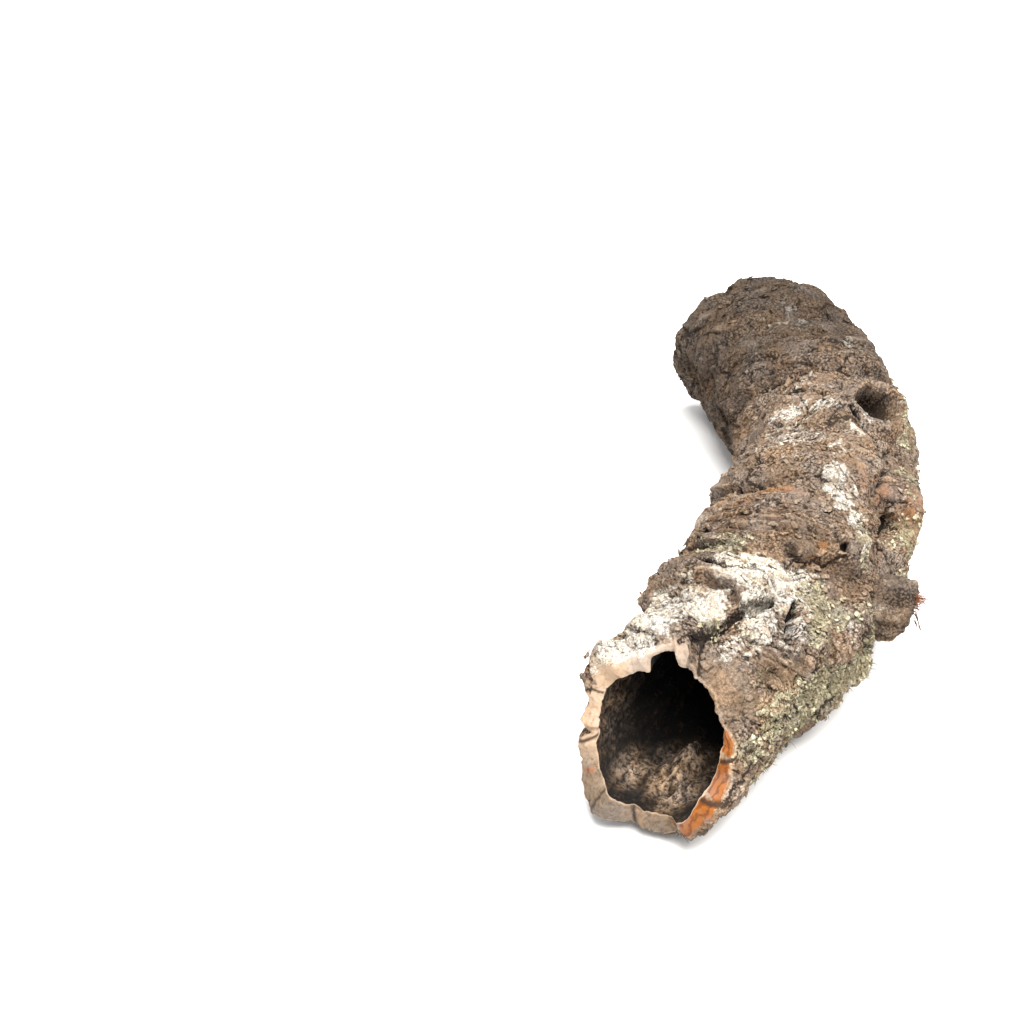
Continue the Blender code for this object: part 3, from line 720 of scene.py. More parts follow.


# %% [markdown]
# ## What grows and wears where, and where shade is painted
# White crust, leafy lichen, orange cork where the skin has come off, and painted shade on the far end each have their
# own place.
# The places were found on the photograph as a distance along the branch and an angle round it. Each becomes a soft
# mask stored on the points, and the shader later breaks its edge up with noise, so no patch has a drawn outline.

# %% Places of growth and wear: distance, degrees, radius along, radius round, strength
CRUST_PLACES = (
    (228, 76, 18, 11, 0.8), (217, 65, 17, 11, 0.8), (206, 54, 15, 10, 0.8), (197, 48, 12, 8, 0.9),
    (188, 41, 10, 7, 0.8), (60, 144, 28, 30, 1.3), (60, 118, 30, 26, 1.0), (58, 96, 26, 20, 1.0),
    (32, 112, 18, 26, 0.75), (104, 88, 24, 28, 1.3), (109, 66, 24, 20, 1.2), (80, 72, 18, 12, 1.1),
    (128, 62, 12, 12, 0.7), (66, 62, 24, 16, 0.9), (52, 56, 16, 12, 0.5), (38, 66, 14, 12, 0.5),
    (68, 38, 22, 10, 0.3), (46, 66, 14, 12, 0.5), (70, 44, 20, 12, 0.35), (90, 46, 20, 14, 0.55),
    (112, 46, 18, 12, 0.4), (266, 112, 30, 36, 0.44), (270, 82, 26, 26, 0.42), (240, 104, 16, 18, 0.28),
    (322, 116, 14, 26, 0.50), (312, 94, 14, 18, 0.58), (288, 74, 14, 14, 0.52), (364, 112, 30, 36, 0.32),
    (34, 128, 16, 26, 0.85), (4, 124, 24, 40, 1.0), (272, 54, 18, 12, 0.35), (345, 42, 28, 14, 0.6),
    (378, 44, 22, 16, 0.5), (300, 120, 30, 30, 0.42), (320, 66, 20, 20, 0.45), (196, 350, 16, 14, 0.35),
    (120, 20, 30, 24, 0.3), (30, 150, 30, 20, 0.45), (420, 70, 30, 30, 0.3), (110, 160, 30, 30, 0.40),
    (300, 200, 50, 40, 0.35), (80, 215, 50, 40, 0.40), (470, 100, 40, 50, 0.35), (440, 350, 50, 40, 0.35),
)
CRUST_SPREAD = 1.35
CRUST_MOST = 0.66  # less than the shader's full cover, so even the thickest crust is broken up
GREEN_PLACES = (
    (120, 50, 18, 12, 1.0), (112, 38, 22, 14, 0.9), (96, 36, 14, 10, 0.9), (128, 30, 14, 10, 0.7),
    (131, 112, 10, 26, 0.7), (192, 46, 16, 12, 0.8), (180, 36, 12, 10, 0.7), (349, 44, 20, 12, 0.9),
    (372, 38, 24, 16, 0.8), (325, 40, 18, 12, 0.7), (280, 30, 20, 14, 0.6), (284, 12, 26, 18, 0.9),
    (246, 14, 20, 14, 0.7), (158, 345, 20, 20, 0.9), (136, 346, 30, 26, 1.0), (104, 350, 30, 28, 1.0),
    (70, 358, 30, 26, 0.9), (36, 10, 22, 16, 0.7), (52, 18, 20, 10, 0.6), (14, 6, 18, 16, 0.6),
    (78, 336, 30, 20, 0.7), (45, 84, 10, 8, 0.9), (40, 330, 30, 22, 0.6), (224, 344, 20, 20, 0.6),
    (320, 350, 40, 26, 0.6), (420, 20, 40, 30, 0.5), (180, 200, 40, 30, 0.5),
)
ORANGE_PLACES = (
    (2, 150, 14, 18, 1.0), (34, 153, 14, 16, 0.5), (76, 118, 12, 26, 0.6), (206, 104, 10, 32, 0.9),
    (154, 64, 10, 7, 0.7), (146, 62, 6, 12, 0.6), (190, 140, 18, 20, 0.8), (170, 136, 16, 14, 0.6),
    (194, 122, 12, 14, 0.7), (240, 60, 20, 14, 0.5), (248, 46, 26, 20, 0.65), (262, 26, 24, 20, 0.65),
    (108, 54, 6, 7, 1.1), (206, 24, 14, 12, 0.6), (208, 352, 14, 12, 0.5), (50, 128, 7, 30, 0.8),
    (36, 120, 6, 26, 0.8), (300, 76, 20, 18, 0.35), (452, 60, 10, 8, 0.7), (18, 170, 20, 14, 0.4),
)
BROWN_PLACES = (
    (168, 100, 46, 85, 1.0), (142, 46, 26, 24, 0.9), (190, 30, 34, 30, 0.6), (166, 130, 40, 50, 0.9),
    (300, 20, 70, 40, 0.8), (258, 44, 36, 26, 0.9),
)
DARK_PLACES = (
    (44, 37, 24, 18, 1.00), (140, 76, 14, 12, 0.6), (152, 18, 30, 18, 0.8), (180, 8, 24, 20, 0.8),
    (150, 40, 16, 14, 0.4),
)
# The far end is darker as its own browner bark and as painted shadow of a neighbouring branch; the underside is darker
# as painted shade.
FAR_BROWN_AND_SHADE = (0.360, 0.450)  # where the bark begins to darken, and where it is darkest
UNDERSIDE_SHADE = (0.2, 0.9, 0.8)  # how far under it begins to darken and is darkest, and how much


def growth(s, angle):
    """The masks of growth and wear at each point, how brown the bark is there, and the dark mask: painted shade at the
    far end and underneath, and listed darker places.
    """
    *under, most = UNDERSIDE_SHADE
    # painted shade at the far end, partly its own darker brown, and on the underside
    dark = np.maximum(smooth(*FAR_BROWN_AND_SHADE, s), most * smooth(*under, -np.sin(angle)))
    return {
        "crust": np.minimum(places(s, angle, CRUST_PLACES, CRUST_SPREAD), CRUST_MOST),
        "green": places(s, angle, GREEN_PLACES),
        "orange": places(s, angle, ORANGE_PLACES),
        "brown": places(s, angle, BROWN_PLACES),
        "dark": np.maximum(dark, places(s, angle, DARK_PLACES)),
    }


# %% A piece from points and faces
def add_piece(name, points, faces, attributes, materials, slots=None, sharp_rings=()):
    """A mesh of the points and of each array of faces, with numbers on its points; it stands in for the branch.

    Sharp rings are the numbers of rings of one point per angle whose own edges are sharp.
    """
    points = points.reshape(-1, 3)
    sides = np.concatenate([np.full(len(part), part.shape[1]) for part in faces])
    corners = np.concatenate([part.ravel() for part in faces])
    mesh = bpy.data.meshes.new(name)
    mesh.vertices.add(len(points))
    mesh.loops.add(len(corners))
    mesh.polygons.add(len(sides))
    mesh.vertices.foreach_set("co", points.astype(np.float32).ravel())
    mesh.loops.foreach_set("vertex_index", corners.astype(np.int32))
    mesh.polygons.foreach_set("loop_start", (np.cumsum(sides) - sides).astype(np.int32))
    if slots is not None:
        mesh.polygons.foreach_set("material_index", slots.astype(np.int32).ravel())
    mesh.update(calc_edges=True)
    mesh.polygons.foreach_set("use_smooth", np.ones(len(sides), bool))
    for key, values in attributes.items():
        kind, field = ("FLOAT_VECTOR", "vector") if key == "place" else ("FLOAT", "value")
        mesh.attributes.new(key, kind, "POINT").data.foreach_set(field, values.astype(np.float32).ravel())
    if sharp_rings:
        ends = np.empty(len(mesh.edges) * 2, np.int32)
        mesh.edges.foreach_get("vertices", ends)
        first, second = (ends.reshape(-1, 2) // len(ROUND)).T
        mesh.edges.foreach_set("use_edge_sharp", (first == second) & np.isin(first, sharp_rings))
    for material in materials:
        mesh.materials.append(material)
    mesh.validate()
    piece = bpy.data.objects.new(name, mesh)
    bpy.context.scene.collection.objects.link(piece)
    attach(piece, "root")
    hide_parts("cork_branch")
    print(name, "has", (sides - 2).sum(), "triangles")


def wrapped_faces(rows, count):
    """Quads between rings that wrap both ways: row i joins row i + 1, and each row joins end to end."""
    index = np.arange(rows * count).reshape(rows, count)
    down, right = np.roll(index, -1, 0), np.roll(index, -1, 1)
    return [np.stack([index, down, np.roll(down, -1, 1), right], -1).reshape(-1, 4)]


def capped_faces(rows, count, split):
    """Faces between rings, quads or split into triangles, and a fan at each end to a foot and a tip."""
    index = np.arange(rows * count).reshape(rows, count)
    right = np.roll(index, -1, 1)
    a, b, c, d = index[:-1], right[:-1], right[1:], index[1:]
    foot = np.full(count, rows * count), right[0], index[0]
    tip = np.full(count, rows * count + 1), index[-1], right[-1]
    between_rings = [(a, b, c), (a, c, d)] if split else [(a, b, c, d)]
    return [np.stack(face, -1).reshape(-1, len(face)) for face in (*between_rings, foot, tip)]


# %% [markdown]
# ## Shader helpers
# Every finish here is made of a few effects: broken-up masks, wrinkled grain, crackled crust, cork's own grain.
# Each is a node group that takes a position on the bark and gives back colours, masks or heights, so the bark, the
# broken rim and the hollow can share it and still be given their own values.

# %% Small helpers that add nodes
def put(tree, kind, inputs=None, **settings):
    """Adds a node; an input given a socket is linked to it, and any other input is set."""
    node = tree.nodes.new("ShaderNode" + kind)
    for key, value in settings.items():
        setattr(node, key, value)
    for key, value in (inputs or {}).items():
        if isinstance(value, bpy.types.NodeSocket):
            tree.links.new(value, node.inputs[key])
        elif node.inputs[key].type == "RGBA":
            node.inputs[key].default_value = (*value, 1.0)
        else:
            node.inputs[key].default_value = value
    return node


def calc(tree, operation, a, b=0.0, c=0.0):
    """A Math node's result."""
    return put(tree, "Math", {0: a, 1: b, 2: c}, operation=operation).outputs[0]


def mul(tree, a, b):
    """The product of two values."""
    return calc(tree, "MULTIPLY", a, b)


def add(tree, a, b):
    """The sum of two values."""
    return calc(tree, "ADD", a, b)


def between(tree, value, start, stop, low_value=0.0, high_value=1.0):
    """A value moved smoothly from one range to another, and held at its ends."""
    ends = {"Value": value, "From Min": start, "From Max": stop, "To Min": low_value, "To Max": high_value}
    return put(tree, "MapRange", ends, interpolation_type="SMOOTHSTEP").outputs["Result"]


def tint(tree, share, a, b):
    """One colour laid over another by a share."""
    return put(tree, "Mix", {0: share, 6: a, 7: b}, data_type="RGBA").outputs[2]


def clouds(tree, vector, scale, detail, roughness=0.5, distortion=0.0):
    """A noise texture's node: patches as wide as 1 divided by the scale, in metres, broken up by the detail."""
    inputs = {"Vector": vector, "Scale": scale, "Detail": detail, "Roughness": roughness, "Distortion": distortion}
    return put(tree, "TexNoise", inputs)


def cloudy(*given):
    """The same noise as a number from 0 to 1."""
    return clouds(*given).outputs["Fac"]


def mask(tree, name):
    """A number stored on the piece's points."""
    return put(tree, "Attribute", attribute_name=name).outputs["Fac"]


def place_on_bark(tree):
    """The straightened position stored on the piece's points, which follows the folds and has no seam."""
    return put(tree, "Attribute", attribute_name="place").outputs["Vector"]


def place_in_space(tree):
    """The position in the piece's own space, where a pattern never stretches over a steep side."""
    return tree.nodes.new("ShaderNodeTexCoord").outputs["Object"]


def stretched(tree, vector, scale):
    """A position multiplied along each axis, so a pattern gets longer or shorter."""
    return put(tree, "VectorMath", {0: vector, 1: scale}, operation="MULTIPLY").outputs[0]


def new_group(name, inputs, outputs):
    """An empty node group with named sockets, and its two end nodes."""
    tree = bpy.data.node_groups.new(name, "ShaderNodeTree")
    for direction, sockets in (("INPUT", inputs), ("OUTPUT", outputs)):
        for socket, kind in sockets.items():
            tree.interface.new_socket(socket, in_out=direction, socket_type="NodeSocket" + kind)
    return tree, tree.nodes.new("NodeGroupInput"), tree.nodes.new("NodeGroupOutput")


def use(tree, group, inputs):
    """Places a node group and sets or links its inputs."""
    return put(tree, "Group", inputs, node_tree=group)


# %% Group: a mask with a ragged edge
def ragged_mask_group():
    """The mask plus noise of a few sizes, cut at a level, so its edge breaks into islands and bays."""
    sockets = {"Place": "Vector", "Mask": "Float", "Size": "Float"}
    tree, start, stop = new_group("ragged_mask", sockets, {"Mask": "Float"})
    rough = cloudy(tree, start.outputs["Place"], start.outputs["Size"], 7.0, 0.68)
    level = add(tree, start.outputs["Mask"], mul(tree, rough, 1.7))
    tree.links.new(between(tree, level, 1.15, 1.38), stop.inputs["Mask"])
    return tree


RAGGED = ragged_mask_group()


def ragged(tree, place, name, size):
    """A mask stored on the points, with its edge broken up."""
    return use(tree, RAGGED, {"Place": place, "Mask": mask(tree, name), "Size": size}).outputs["Mask"]


# %% Group: gritty grain
def grain_group():
    """Grit of a millimetre or two, drawn out into lines round the branch where the bark is lined."""
    sockets = {"Place": "Vector", "Along": "Vector", "Lined": "Float"}
    tree, start, stop = new_group("gritty_grain", sockets, {"Height": "Float", "Speckle": "Float"})
    place = start.outputs["Place"]
    lines = cloudy(tree, stretched(tree, start.outputs["Along"], (0.22, 0.22, 1.0)), 640.0, 3.0, 0.55, 0.8)
    grit = cloudy(tree, place, 520.0, 5.0, 0.7)
    nodule = put(tree, "TexVoronoi", {"Vector": place, "Scale": 620.0, "Randomness": 1.0})
    knobbly = calc(tree, "SUBTRACT", 0.95, nodule.outputs["Distance"])
    rough = add(tree, mul(tree, grit, 0.75), mul(tree, knobbly, 0.25))
    share = mul(tree, start.outputs["Lined"], 0.5)
    height = put(tree, "Mix", {0: share, 2: rough, 3: lines}, data_type="FLOAT").outputs[0]
    tree.links.new(height, stop.inputs["Height"])
    tree.links.new(between(tree, height, 0.38, 0.62), stop.inputs["Speckle"])
    return tree


GRAIN = grain_group()


# %% Group: crackled crust
def crackle_group():
    """The gaps between scattered cells at two sizes: thin dark cracks in a dried crust."""
    tree, start, stop = new_group("crackle", {"Place": "Vector", "Size": "Float"}, {"Crack": "Float"})
    bent = clouds(tree, start.outputs["Place"], 300.0, 3.0).outputs["Color"]
    sum_of = {0: bent, 1: (0.0022, 0.0022, 0.0022), 2: start.outputs["Place"]}
    moved = put(tree, "VectorMath", sum_of, operation="MULTIPLY_ADD")
    cracks = []
    for share in (1.0, 2.3):
        scale = mul(tree, start.outputs["Size"], share)
        edge = put(tree, "TexVoronoi", {"Vector": moved.outputs[0], "Scale": scale}, feature="DISTANCE_TO_EDGE")
        cracks.append(between(tree, edge.outputs["Distance"], 0.0, 0.13, 1.0, 0.0))
    tree.links.new(calc(tree, "MAXIMUM", cracks[0], mul(tree, cracks[1], 0.7)), stop.inputs["Crack"])
    return tree


CRACKLE = crackle_group()


# %% Group: slow drift of a colour
def drift_group():
    """Large soft patches that make a colour lighter or darker, and warmer or cooler."""
    sockets = {"Place": "Vector", "Colour": "Color", "Amount": "Float"}
    tree, start, stop = new_group("colour_drift", sockets, {"Colour": "Color"})
    slow = clouds(tree, start.outputs["Place"], 38.0, 4.0, 0.6)
    value = add(tree, 1.0, mul(tree, calc(tree, "SUBTRACT", slow.outputs["Fac"], 0.5), start.outputs["Amount"]))
    other = put(tree, "SeparateColor", {0: slow.outputs["Color"]}).outputs[1]
    grey = between(tree, other, 0.36, 0.64, 0.78, 1.18)
    shaded = put(tree, "HueSaturation", {"Saturation": grey, "Value": value, "Color": start.outputs["Colour"]})
    tree.links.new(shaded.outputs[0], stop.inputs["Colour"])
    return tree


DRIFT = drift_group()
print("node groups:", [g.name for g in bpy.data.node_groups])

# %% [markdown]
# ## The three finishes of the cork
# The weathered skin is grey-brown with painted shade in its wrinkles and painted highlight on its ridges, under crust,
# lichen and rubbed orange spots. The broken rim shows fresh cork: tan, in thin layers, with pores, and painted shade in
# its low places. The hollow's wall is painted nearly black as shade, and the mound near the mouth pale as painted
# light.
# All three are quite matt.

# %% Colours, as scene-linear red, green and blue
# the first colour is painted shade, laid into creases, cracks, holes, thin crust cracks and the shaded far end and
# underside
CREVICE_SHADE = (0.016, 0.009, 0.005)
BARK_DARK = (0.078, 0.050, 0.033)
BARK_MIDDLE = (0.332, 0.235, 0.163)
BARK_PALE = (0.615, 0.480, 0.350)
BROWN_SKIN = (0.305, 0.204, 0.138)
CRUST = (0.930, 0.865, 0.750)
CRUST_TAN = (0.600, 0.470, 0.335)
CRUST_GREEN = (0.600, 0.560, 0.450)
LICHEN = (0.190, 0.165, 0.105)
LICHEN_PALE = (0.520, 0.475, 0.330)
ORANGE = (0.345, 0.170, 0.084)
CORK_TAN = (0.405, 0.305, 0.225)
CORK_DEEP = (0.250, 0.160, 0.105)
CORK_ORANGE = (0.262, 0.109, 0.049)
ORANGE_LINE = (0.120, 0.044, 0.020)
WORN_CORK = (0.270, 0.200, 0.142)
WORN_DEEP = (0.105, 0.072, 0.048)
BEVEL_TAN = (0.300, 0.215, 0.150)
BEVEL_BROWN = (0.105, 0.070, 0.046)
# the hollow's near-black is painted shade, and the mound's pale tan is painted light
HOLLOW_SHADE = (0.0030, 0.0018, 0.0010)
HOLLOW_BROWN = (0.052, 0.029, 0.015)
MOUND_LIT = (0.640, 0.435, 0.275)


# %% The weathered skin
def new_material(name, roughness):
    """A material with an empty Principled shader of this roughness."""
    material = bpy.data.materials.new(name)
    material.use_nodes = True
    tree = material.node_tree
    shader = tree.nodes["Principled BSDF"]
    shader.inputs["Roughness"].default_value = roughness
    shader.inputs["Specular IOR Level"].default_value = 0.25
    return material, tree, shader


def coat(tree, shader, colour, height, distance):
    """Gives the shader its colour, and a height in units of the distance as its normal."""
    node = put(tree, "Bump", {"Height": height, "Distance": distance, "Strength": 1.0})
    tree.links.new(node.outputs[0], shader.inputs["Normal"])
    tree.links.new(colour, shader.inputs["Base Color"])


def drifting(tree, place, colour, amount):
    """The colour with slow drift in it."""
    return use(tree, DRIFT, {"Place": place, "Colour": colour, "Amount": amount}).outputs["Colour"]


def weathered_bark():
    """Grey-brown skin, with painted shade in cracks and painted highlight on ridges; crust, lichen and orange over it.
    """
    material, tree, shader = new_material("weathered_bark", 0.92)
    place = place_in_space(tree)
    brown_share = mask(tree, "brown")
    grain = use(tree, GRAIN, {"Place": place, "Along": place_on_bark(tree), "Lined": brown_share})
    crest, crevice = mask(tree, "crest"), mask(tree, "crevice")
    contrast = between(tree, cloudy(tree, place, 45.0, 3.0), 0.38, 0.62, 0.35, 0.95)
    speckle = calc(tree, "MULTIPLY_ADD", calc(tree, "SUBTRACT", grain.outputs["Speckle"], 0.5), contrast, 0.5)
    # painted highlight: the crests are made paler
    tone = add(tree, mul(tree, speckle, 0.70), mul(tree, crest, 0.42))
    skin = tint(tree, between(tree, tone, 0.02, 0.60), BARK_DARK, BARK_MIDDLE)
    skin = tint(tree, between(tree, tone, 0.48, 1.05), skin, BARK_PALE)
    brown = tint(tree, between(tree, tone, 0.1, 0.9), BARK_DARK, BROWN_SKIN)
    skin = tint(tree, mul(tree, brown_share, 0.75), skin, brown)
    bevel = ragged(tree, place, "bevel", 90.0)
    streak = cloudy(tree, stretched(tree, place_on_bark(tree), (1.0, 1.0, 0.75)), 150.0, 8.0, 0.78, 0.6)
    smoothed = tint(tree, between(tree, streak, 0.40, 0.58), BEVEL_BROWN, BEVEL_TAN)
    skin = tint(tree, mul(tree, bevel, 0.62), skin, smoothed)
    orange = ragged(tree, place, "orange", 170.0)
    skin = tint(tree, mul(tree, orange, between(tree, speckle, 0.0, 1.0, 0.25, 0.8)), skin, ORANGE)
    green = ragged(tree, place, "green", 260.0)
    leafy = tint(tree, speckle, LICHEN, LICHEN_PALE)
    skin = tint(tree, mul(tree, green, 0.70), skin, leafy)
    crackle = use(tree, CRACKLE, {"Place": place, "Size": 420.0}).outputs["Crack"]
    crust = ragged(tree, place, "crust", 170.0)
    crust = mul(tree, crust, calc(tree, "SUBTRACT", 1.0, mul(tree, crackle, 0.36)))
    crust = mul(tree, crust, between(tree, speckle, 0.05, 0.55, 0.32, 1.0))
    stained = cloudy(tree, stretched(tree, place_on_bark(tree), (0.5, 0.5, 1.0)), 190.0, 5.0)
    white = tint(tree, between(tree, stained, 0.46, 0.62, 0.0, 0.80), CRUST, CRUST_TAN)
    white = tint(tree, between(tree, mask(tree, "green"), 0.1, 0.9, 0.0, 0.6), white, CRUST_GREEN)
    skin = tint(tree, crust, skin, white)
    skin = tint(tree, mul(tree, crackle, 0.18), skin, CREVICE_SHADE)
    # painted shade: creases, cracks, holes and low grain are darkened, less under crust
    uneven = mul(tree, calc(tree, "SUBTRACT", 0.5, grain.outputs["Height"]), 2.8)
    gap_shade = between(tree, add(tree, crevice, uneven), 0.28, 0.80, 0.0, 0.88)
    gap_shade = calc(tree, "MAXIMUM", gap_shade, mul(tree, crevice, 0.5))
    gap_shade = mul(tree, gap_shade, between(tree, crust, 0.0, 0.9, 1.0, 0.40))
    skin = tint(tree, gap_shade, skin, CREVICE_SHADE)
    # painted shade at the far end and underneath, and at the listed darker places
    skin = tint(tree, mul(tree, mask(tree, "dark"), 0.62), skin, CREVICE_SHADE)
    height = add(tree, grain.outputs["Height"], mul(tree, crust, 0.25))
    height = calc(tree, "SUBTRACT", height, mul(tree, crackle, 0.20))
    coat(tree, shader, drifting(tree, place, skin, 0.9), height, 0.0026)
    return material


# %% The broken rim and the hollow
def broken_cork():
    """Tan cork in thin layers, with dark pores and painted shade in its low places and cracks, orange where it is
    freshest and grey where it is worn.
    """
    material, tree, shader = new_material("broken_cork", 0.90)
    place = place_in_space(tree)
    depth = mask(tree, "layer")
    wobble = cloudy(tree, place, 60.0, 5.0, 0.6)
    rings = calc(tree, "SINE", add(tree, mul(tree, depth, 22.0), mul(tree, wobble, 30.0)))
    grain = cloudy(tree, place, 360.0, 8.0, 0.78)
    tone = add(tree, mul(tree, rings, 0.025), grain)
    cork = tint(tree, between(tree, tone, 0.30, 0.54), CORK_DEEP, CORK_TAN)
    worn = tint(tree, between(tree, tone, 0.30, 0.62), WORN_DEEP, WORN_CORK)
    cork = tint(tree, mask(tree, "worn"), cork, worn)
    fresh = ragged(tree, place, "orange", 150.0)
    swirls = calc(tree, "SINE", add(tree, mul(tree, depth, 14.0), mul(tree, wobble, 26.0)))
    orange = tint(tree, between(tree, add(tree, swirls, grain), 0.2, 1.6, 0.0, 0.85), CORK_ORANGE, ORANGE_LINE)
    cork = tint(tree, fresh, cork, orange)
    # painted shade in the rim's low places and cracks, and at the far end and underneath
    cork = tint(tree, mul(tree, mask(tree, "crevice"), 0.9), cork, CREVICE_SHADE)
    cork = tint(tree, mul(tree, mask(tree, "dark"), 0.4), cork, CREVICE_SHADE)
    coat(tree, shader, drifting(tree, place, cork, 0.7), tone, 0.0014)
    return material


def hollow_cork():
    """Wall painted nearly black as shade, brown on its shreds with painted highlight on their crests, and a mound near
    the mouth painted pale as lit.
    """
    material, tree, shader = new_material("hollow_cork", 0.95)
    place = place_in_space(tree)
    grain = cloudy(tree, place, 330.0, 6.0, 0.7)
    # painted highlight on the crests of the shreds
    tone = add(tree, grain, mul(tree, mask(tree, "crest"), 0.2))
    wall = tint(tree, between(tree, tone, 0.42, 0.72), HOLLOW_SHADE, HOLLOW_BROWN)
    mound = tint(tree, between(tree, grain, 0.38, 0.62), HOLLOW_BROWN, MOUND_LIT)
    # painted light on the mound, and painted shade in the pits between the shreds
    wall = tint(tree, mask(tree, "mound"), wall, mound)
    wall = tint(tree, mask(tree, "crevice"), wall, HOLLOW_SHADE)
    coat(tree, shader, drifting(tree, place, wall, 0.8), grain, 0.0030)
    return material


SKIN, RIM, WALL_INSIDE = weathered_bark(), broken_cork(), hollow_cork()
print("finishes:", [m.name for m in (SKIN, RIM, WALL_INSIDE)])

# %% [markdown]
# ## The two lengths of bark
# Each length is one closed surface: out along the bark, over the broken rim, back along the hollow, and shut at the
# join. The masks are worked out on the same grid, so nothing has to be painted by hand.

# %% Masks from the shape
WORN_RIM = (
    (0, 50, 90, 60, 0.9), (-24, 230, 90, 56, 1.6), (0, 0, 90, 40, 1.0), (-10, 290, 90, 50, 1.2),
    (0, 330, 90, 40, 1.0),
)
FRESH_RIM = (
    (6, 10, 60, 15, 1.6), (0, 346, 60, 18, 1.8), (-10, 322, 60, 22, 1.8), (-12, 213, 60, 7, 0.5),
    (-16, 300, 60, 8, 0.5),
)
BEVEL_PLACES = (
    (18, 56, 28, 34, 2.0), (14, 34, 26, 28, 2.0), (18, 78, 20, 14, 1.6), (14, 136, 14, 30, 0.9),
    (320, 60, 13, 22, 1.1),
)
RIM_GAPS = (  # cracks across the rim: angle, and half width in degrees
    (358.0, 2.6), (334.5, 2.4), (308.0, 2.0), (262.0, 3.0), (232.0, 1.6), (191.0, 2.2), (161.0, 1.4),
)
GAP_SLANT, GAP_FLAT = 0.10, 0.2
SKINNED_RIM = (  # angle, half angle, and the share of the rim that still has the bark's skin
    (130.0, 34.0, 0.36), (50.0, 34.0, 1.0), (338.0, 42.0, 0.28),
)


def skin_masks(s, angle, found):
    """The outside's masks: painted highlight on crests and painted shade in crevices, from the relief, and growth from
    its places.
    """
    fine, crack, pit = found["fine"], found["crack"], found["pit"]
    masks = growth(s, angle)
    masks["crest"] = smooth(-0.0006, 0.0022, fine)
    # painted shade from low relief, cracks, creases and holes
    masks["crevice"] = np.clip(0.58 * smooth(0.0008, 0.0038, -fine) + 0.8 * crack + 1.0 * pit, 0, 1)
    masks["bevel"] = places(s, angle, BEVEL_PLACES)
    masks["place"] = straightened(s - found["shift"], angle)
    return masks


def rim_masks(s, angle, push, share):
    """The rim's masks: worn grey where it is rounded, orange where it is fresh, painted shade in its low places and
    cracks.
    """
    masks = growth(s, angle)
    masks["worn"] = places(s, angle, WORN_RIM)
    uneven = share - 0.05 + 0.3 * noise(straightened(s, angle) / 0.012, 491)
    masks["orange"] = places(s, angle, FRESH_RIM) * smooth(0.0, 0.3, uneven)
    slanted = angle + GAP_SLANT * (share - 0.5)
    gap = sum(arc(slanted, at, wide, GAP_FLAT) for at, wide in RIM_GAPS)
    # painted shade in the low places and in the cracks across the rim
    masks["crevice"] = np.clip(0.8 * smooth(0.0004, 0.0026, -push) + gap, 0, 1)
    masks["crest"] = smooth(-0.001, 0.002, push)
    masks["bevel"] = places(s, angle, BEVEL_PLACES)
    masks["layer"] = share + 0 * s
    masks["place"] = straightened(s, angle) * (1 - 0.2 * share)[..., None]
    return masks


def wall_masks(s, angle, shreds):
    """The hollow's masks: painted highlight on the crests of its shreds, painted shade in their pits, and the mound."""
    return {
        "crest": np.clip(shreds / 0.002, -1, 1),
        "crevice": 0.85 * smooth(0.0006, 0.0032, -shreds),
        "mound": places(s, angle, MOUND_PLACES),
        "place": straightened(s, angle) * 0.8,
    }


def joined(parts, shape):
    """The same attribute of several parts of a piece stacked into one array, and nought where a part lacks it."""
    names = sorted({key for masks, _ in parts for key in masks})
    whole = {}
    for key in names:
        tail = (3,) if key == "place" else ()
        rows = [np.broadcast_to(masks.get(key, 0.0), (count, shape) + tail) for masks, count in parts]
        whole[key] = np.concatenate(rows)
    return whole


